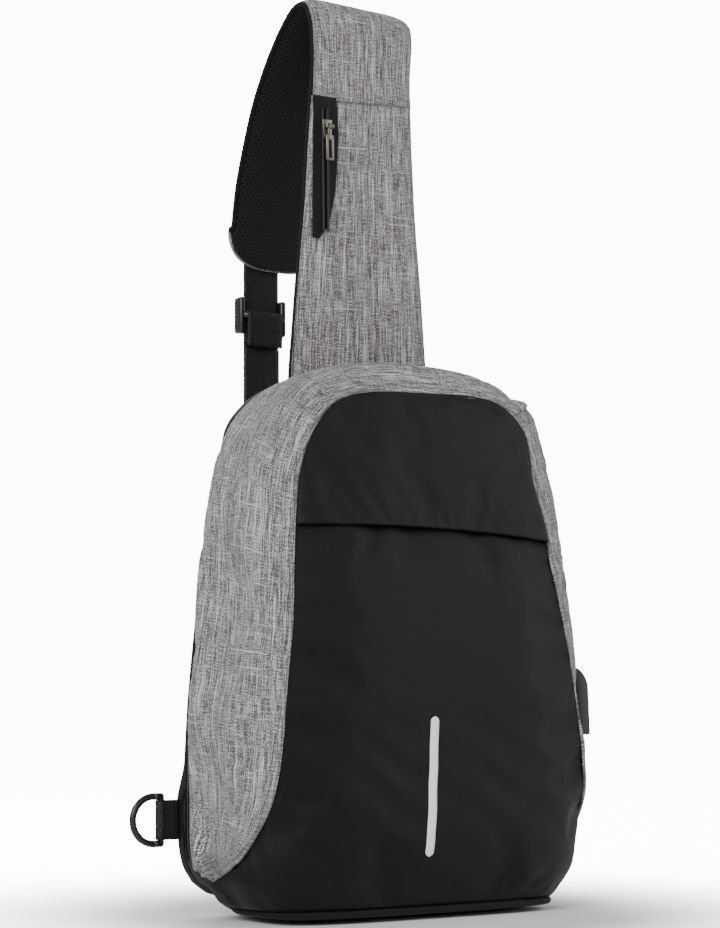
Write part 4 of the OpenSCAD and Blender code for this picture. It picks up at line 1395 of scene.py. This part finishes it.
def web_frames(way, count=90):
    """One layer of the webbing run; way is 1 or -1 for the two layers."""
    last = len(WEB_PATH) - 1
    frames = []
    for k in range(count + 1):
        i = mix(last, 0, k / count)
        p = smooth_row(WEB_PATH, i)
        along = way_along(WEB_PATH, i)
        if i > last - 0.1:
            along = Vector((0, 0, 1))
        side = (Vector((1, 0, 0)) - along * along.x).normalized()
        out = side.cross(along)
        frames.append((p - out * way * lookup(WEB_GAPS, i), side, out))
    return frames


RIGHTWARDS, FORWARDS = Vector((1, 0, 0)), Vector((0, -1, 0))
upright = [(Vector((WEB_X, WEB_Y + 1.2, z)), RIGHTWARDS, FORWARDS) for z in range(412, 306, -5)]
runs = [strip_bmesh(upright + web_frames(1), WEB_W, 1.2, 10), strip_bmesh(web_frames(-1), WEB_W, 1.2, 10)]
finish_mesh("webbing_skin", joined(*runs), WEBBING, "back", ["webbing"])

slack = [(Vector((WEB_X, WEB_Y - 1.2, mix(SLACK_Z + 0.2, GLIDE_Z - 20, k / 16))), RIGHTWARDS, FORWARDS)
         for k in range(17)]
slack_skin = finish_mesh("webbing_slack_skin", strip_bmesh(slack, WEB_W, 1.2, 10), WEBBING, "back",
                         ["webbing_slack"])
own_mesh(slack_skin)

# %% The sewn end of the webbing, looped round the adjuster's middle bar
GLIDE_BAR = Vector((WEB_X, WEB_Y - 3.1, GLIDE_Z))


def loop_points(radius, tail, count=18):
    """Down from behind the bar, over it and down in front."""
    back = [Vector((0, radius, -tail + k * (tail - 1) / 6)) for k in range(6)]
    over = [Vector((0, radius * math.cos(a), radius * math.sin(a)))
            for a in [mix(-0.25, math.pi + 0.25, k / count) for k in range(count + 1)]]
    front = [Vector((0, -radius + 0.8 * k / 6, -1 - k * (tail - 1) / 6)) for k in range(1, 7)]
    return back + over + front


loop = [GLIDE_BAR + p for p in loop_points(2.5, 19)]
frames = path_frames(loop, (1, 0, 0))
finish_mesh("webbing_end_skin", strip_bmesh(frames, WEB_W, 1.2, 10), WEBBING, "glide", ["webbing_end_loop"])
rows = []
for z in (-8.5, -16.5):
    line = [GLIDE_BAR + Vector((mix(-10.5, 10.5, k / 10), -3.2 + 0.7 * (z < -10), z)) for k in range(11)]
    rows.append(stitch_bmesh([(p, Vector((0, 0, 1)), FORWARDS) for p in line], 2.6, 1.8, 0.5))
finish_mesh("webbing_end_stitches", joined(*rows), THREAD_BLACK, "glide")

# %% Ring tabs: a loop of webbing round each ring's bar, stitched down by the panel
TAB_W = 23
for name, side in (("left", -1), ("right", 1)):
    pivot = Vector((side * RING.x, RING.y, RING.z))
    turned = [Vector((-side * 11.8, 1.3, 0))]
    turned += [Vector((-side * x, 1.35 + 0.5 * (1 - x / 10), 0)) for x in (9, 6, 3, 1)]
    arc = [Vector((side * 2.6 * math.sin(a), 2.6 * math.cos(a), 0)) for a in
           [mix(0.1, math.pi - 0.1, k / 14) for k in range(15)]]
    path = turned + arc + [Vector((p.x, -p.y, 0)) for p in reversed(turned)]
    bm = strip_bmesh(path_frames([pivot + p for p in path], (0, 0, 1)), TAB_W, 1.1, 8)
    finish_mesh(name + "_tab_skin", bm, WEBBING, "back", [name + "_ring_tab"])
    line = [(pivot + Vector((-side * 6.5, -2.15, mix(-9.5, 9.5, k / 10))), RIGHTWARDS, FORWARDS)
            for k in range(11)]
    finish_mesh(name + "_tab_stitches", stitch_bmesh(line, 2.4, 1.7, 0.5), THREAD_BLACK, "back")
print("webbing made")

# %% [markdown]
# ## Rings, adjuster and zip hardware
# These are moulded or cast, so their edges are rounded and their bars are truly round. Each piece is
# made in the frame of the CAD part that it stands for.

# %% Rings
LYING = Matrix.Rotation(math.pi / 2, 4, "Y")


def rod_bmesh(radius, length, matrix, segments=20):
    """A round bar of a length in mm, upright before the matrix turns and moves it."""
    bm = bmesh.new()
    bmesh.ops.create_cone(bm, cap_ends=True, segments=segments, radius1=radius * MM, radius2=radius * MM,
                          depth=length * MM, matrix=matrix)
    return bm


def ring_bmesh(matrix, wire):
    """A D ring: a straight bar, two short arms and a half circle spun from a small circle."""
    bend = bmesh.new()
    made = bmesh.ops.create_circle(bend, segments=16, radius=wire * MM)
    bmesh.ops.translate(bend, verts=made["verts"], vec=(RING_ROUND * MM, 0, 0))
    bmesh.ops.rotate(bend, verts=bend.verts, matrix=Matrix.Rotation(math.pi / 2, 3, "X"))
    bmesh.ops.spin(bend, geom=bend.edges[:], axis=(0, 0, 1), cent=(0, 0, 0), angle=math.pi, steps=36,
                   use_merge=False)
    upright = Matrix.Rotation(math.pi / 2, 3, "X") @ Matrix.Rotation(-math.pi / 2, 3, "Z")
    bmesh.ops.rotate(bend, verts=bend.verts, matrix=upright)
    bmesh.ops.translate(bend, verts=bend.verts, vec=(RING_ARM * MM, 0, 0))
    parts = [bend, rod_bmesh(wire, 2 * RING_ROUND, Matrix())]
    for z in (-RING_ROUND, RING_ROUND):
        parts.append(rod_bmesh(wire, 4.8, Matrix.Translation((2.35 * MM, 0, z * MM)) @ LYING, 16))
        ball = bmesh.new()
        bmesh.ops.create_uvsphere(ball, u_segments=16, v_segments=10, radius=wire * MM,
                                  matrix=Matrix.Translation((0, 0, z * MM)))
        parts.append(ball)
    whole = joined(*parts)
    bmesh.ops.recalc_face_normals(whole, faces=whole.faces)
    bmesh.ops.transform(whole, matrix=matrix, verts=whole.verts)
    return whole


left_at = Matrix.Translation(Vector((-RING.x, RING.y, RING.z)) * MM) @ Matrix.Rotation(math.pi, 4, "Z")
right_at = Matrix.Translation(RING * MM) @ Matrix.Rotation(math.pi / 2, 4, "Z")
finish_mesh("left_ring_skin", ring_bmesh(left_at, 2.0), PLASTIC, "ring_left", ["left_ring"])
finish_mesh("right_ring_skin", ring_bmesh(right_at, 1.8), PLASTIC, "ring_right", ["right_ring"])

# %% Adjuster
def lying_rod(radius, length, place):
    """A round bar that lies across the bag at a place in mm."""
    return rod_bmesh(radius, length, Matrix.Translation(place * MM) @ LYING)


parts = [lying_rod(1.8, 30, GLIDE_BAR)]
parts += [lying_rod(1.6, 30, GLIDE_BAR + Vector((0, 6.8, z))) for z in (-9.4, 9.4)]
for s in (-1, 1):
    at = Matrix.Translation((GLIDE_BAR + Vector((s * 15, 0, 0))) * MM)
    parts.append(block_bmesh((4.2, 8.8, 22.6), (0, 3.9, 0), at, 1.9, 4))
finish_mesh("adjuster_skin", joined(*parts), PLASTIC, "glide", ["tri_glide"])

# %% Zip sliders and pulls
CROWN_Y, CROWN_R, SLIDER_LEN = 4.4, 0.8, 11


def slider_bmesh(matrix):
    """A zip slider: two wings, a neck, and a crown bar on two posts."""
    parts = []
    for y in (1.8, -1.8):
        wing = bmesh.new()
        bmesh.ops.create_cube(wing, size=1, matrix=Matrix.Diagonal((7 * MM, 1 * MM, SLIDER_LEN * MM, 1)))
        for v in wing.verts:
            if v.co.z < 0:
                v.co.x *= 0.74
        bmesh.ops.bevel(wing, geom=wing.edges[:], offset=0.38 * MM, segments=2, profile=0.5,
                        affect="EDGES", material=-1)
        bmesh.ops.transform(wing, matrix=matrix @ Matrix.Translation((0, y * MM, 0)), verts=wing.verts)
        parts.append(wing)
    parts.append(block_bmesh((1, 4, 2.6), (0, 0, SLIDER_LEN / 2 - 1.7), matrix, 0.1))
    for x in (-2.3, 2.3):
        parts.append(block_bmesh((1.2, CROWN_Y - 1, 2.4), (x, 2 + (CROWN_Y - 1) / 2, 1), matrix, 0.35))
    parts.append(rod_bmesh(CROWN_R, 5.8, matrix @ Matrix.Translation((0, CROWN_Y * MM, 1 * MM)) @ LYING, 14))
    return joined(*parts)


def pull_bmesh(matrix, length=17, width=5.6):
    """A lug on the crown bar, a neck, and a frame with rounded corners."""
    lug = bmesh.new()
    rim = bmesh.ops.create_circle(lug, segments=12, radius=0.48 * MM)
    bmesh.ops.translate(lug, verts=rim["verts"], vec=(1.42 * MM, 0, 0))
    bmesh.ops.spin(lug, geom=lug.edges[:], axis=(0, 1, 0), cent=(0, 0, 0), angle=2 * math.pi, steps=20,
                   use_merge=True)
    bmesh.ops.rotate(lug, verts=lug.verts, matrix=Matrix.Rotation(math.pi / 2, 3, "Z"))
    bmesh.ops.scale(lug, vec=(2.2, 1, 1), verts=lug.verts)
    bmesh.ops.recalc_face_normals(lug, faces=lug.faces)
    bmesh.ops.transform(lug, matrix=matrix @ Matrix.Translation((0, CROWN_Y * MM, 1 * MM)), verts=lug.verts)
    top, low = -4.0, -length
    parts = [lug, block_bmesh((2.4, 1.2, 5.2), (0, CROWN_Y, -2.4), matrix, 0.35),
             block_bmesh((width, 1.2, 1.4), (0, CROWN_Y, low + 0.7), matrix, 0.4),
             block_bmesh((width, 1.2, 3.0), (0, CROWN_Y, top - 1.5), matrix, 0.4)]
    for s in (-1, 1):
        side_bar = (s * (width / 2 - 0.8), CROWN_Y, (top + low) / 2)
        parts.append(block_bmesh((1.6, 1.2, top - low), side_bar, matrix, 0.35))
    return joined(*parts)


def main_run(z):
    """The frame of a main zip slider at a height: x across the chain, y outward, z along it."""
    low, high = zip_point(4.2, ZIP_INSET, 0, 1), zip_point(6, ZIP_INSET, 0, 1)
    along = (high - low).normalized()
    place = low + along * ((z - low.z) / along.z)
    return (Matrix.Translation(place * MM) @ Matrix.Rotation(math.atan(along.x / along.z), 4, "Y")
            @ Matrix.Rotation(BACK_LEAN, 4, "X") @ Matrix.Rotation(-math.pi / 2, 4, "Z"))


FRONT_ZIP_Z = 234
front_slope = math.atan((lookup(FRONT_DEPTHS, 219) - lookup(FRONT_DEPTHS, 251.5)) / 32.5)
front_at = (Matrix.Translation(Vector((0, -lookup(FRONT_DEPTHS, FRONT_ZIP_Z), FRONT_ZIP_Z)) * MM)
            @ Matrix.Rotation(-front_slope, 4, "X") @ Matrix.Translation((0, 5.6 * MM, 0))
            @ Matrix.Rotation(math.pi / 2, 4, "Y") @ Matrix.Rotation(math.pi, 4, "Z"))
FLIP = Matrix.Diagonal((1, 1, -1, 1))
front_zip_at = front_at @ Matrix.Translation((0, -0.3 * MM, 15 * MM))
strap_at = POCKET_FRAME @ Matrix.Translation((0, ZIP_RISE * MM, 0))
hardware = [
    ("front_zip_slider", "pocket_slider", slider_bmesh(front_zip_at)),
    ("front_zip_pull", "pocket_slider", pull_bmesh(front_zip_at, 12, 5)),
    ("upper_zip_slider", "upper_slider", slider_bmesh(main_run(190))),
    ("upper_zip_pull", "upper_pull", pull_bmesh(main_run(190))),
    ("lower_zip_slider", "lower_slider", slider_bmesh(main_run(168) @ FLIP)),
    ("lower_zip_pull", "lower_pull", pull_bmesh(main_run(168) @ Matrix.Translation((0, 0, -2 * MM)))),
    ("strap_zip_slider", "strap_slider", slider_bmesh(strap_at)),
    ("strap_zip_pull", "strap_pull", pull_bmesh(strap_at, 19)),
]
for node, body, bm in hardware:
    bmesh.ops.recalc_face_normals(bm, faces=bm.faces)
    finish_mesh(node + "_skin", bm, GUNMETAL, body, [node])
print("hardware made")

# %% Front pocket zip, hidden under the hem
front_coils = []
for off in (-COIL_GAP, COIL_GAP):
    points = [front_at @ (Vector((off, 0, mix(-66, 66, k / 500))) * MM) / MM for k in range(501)]
    front_coils.append(coil_bmesh(points))
finish_mesh("front_coil_skin", joined(*front_coils), COIL, "shell", ["front_zip_coil"])
tapes = []
across, out = [front_at.to_3x3() @ Vector(way) for way in ((1, 0, 0), (0, 1, 0))]
for s in (-1, 1):
    frames = [(front_at @ (Vector((s * 6, -0.85, mix(-67, 67, k / 20))) * MM) / MM, across, out)
              for k in range(21)]
    tapes.append(strip_bmesh(frames, 6, 0.6, 3))
finish_mesh("front_tapes_skin", joined(*tapes), TAPE, "shell", ["front_zip_tapes"])

# %% [markdown]
# ## The cable hood
# A moulded rubber hood on the right side shelters a charging socket and opens downwards. Its skin is a
# grid whose one direction goes round the arch and whose other goes out from the wall and over the face.

# %% Cable hood
HOOD_AT = (Matrix.Translation(Vector((120.4, 0, 105)) * MM) @ Matrix.Rotation(math.radians(-3.2), 4, "Y"))
HOOD_Y, HOOD_H, HOOD_OUT = (-28, 0), 42, 11.4


def hood_arch(u, inset):
    """A point on the arch: up the front, round the top and down the back."""
    radius = (HOOD_Y[1] - HOOD_Y[0]) / 2 - inset
    middle = (HOOD_Y[0] + HOOD_Y[1]) / 2
    straight = HOOD_H - 14
    bend = math.pi * radius
    way = u * (2 * straight + bend)
    if way < straight:
        return middle - radius, way
    if way < straight + bend:
        a = (way - straight) / radius
        return middle - radius * math.cos(a), straight + radius * math.sin(a)
    return middle + radius, 2 * straight + bend - way


HOOD_FACE = HOOD_OUT - 0.8
# (out from the wall, inset from the arch): up the wall of the hood, over its rim and across its sunk face
HOOD_STEPS = [(0, 0), (HOOD_OUT * 0.5, 0), (HOOD_OUT - 2.2, 0), (HOOD_OUT - 1.2, 0.3), (HOOD_OUT - 0.4, 1.0),
              (HOOD_OUT, 2.1), (HOOD_OUT, 3.4), (HOOD_OUT - 0.7, 4.2), (HOOD_FACE, 6), (HOOD_FACE, 9),
              (HOOD_FACE, 12), (HOOD_FACE, 13.95)]


def hood_place(u, v):
    """The hood: round the arch with u, out from the wall and over the face with v."""
    out, inset = HOOD_STEPS[round(v * (len(HOOD_STEPS) - 1))]
    y, z = hood_arch(u, inset)
    return HOOD_AT @ (Vector((out, y, z)) * MM) / MM


bm = grid_bmesh(60, len(HOOD_STEPS) - 1, hood_place)
bmesh.ops.remove_doubles(bm, verts=bm.verts, dist=0.00002)
bmesh.ops.recalc_face_normals(bm, faces=bm.faces)
bmesh.ops.solidify(bm, geom=bm.faces[:], thickness=1.5 * MM)
bmesh.ops.recalc_face_normals(bm, faces=bm.faces)
finish_mesh("cable_hood_skin", bm, RUBBER, "shell", ["cable_hood"])

# %% Finishes for the CAD parts that stay as they are
for node, material in (("cable_socket", STEEL), ("socket_tongue", WHITE_PLASTIC), ("hook_eye", PLASTIC),
                       ("swivel_hook", PLASTIC), ("hook_gate", PLASTIC), ("base_board", LINING),
                       ("back_board", LINING)):
    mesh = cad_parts[node].data
    mesh.materials.clear()
    mesh.materials.append(material)
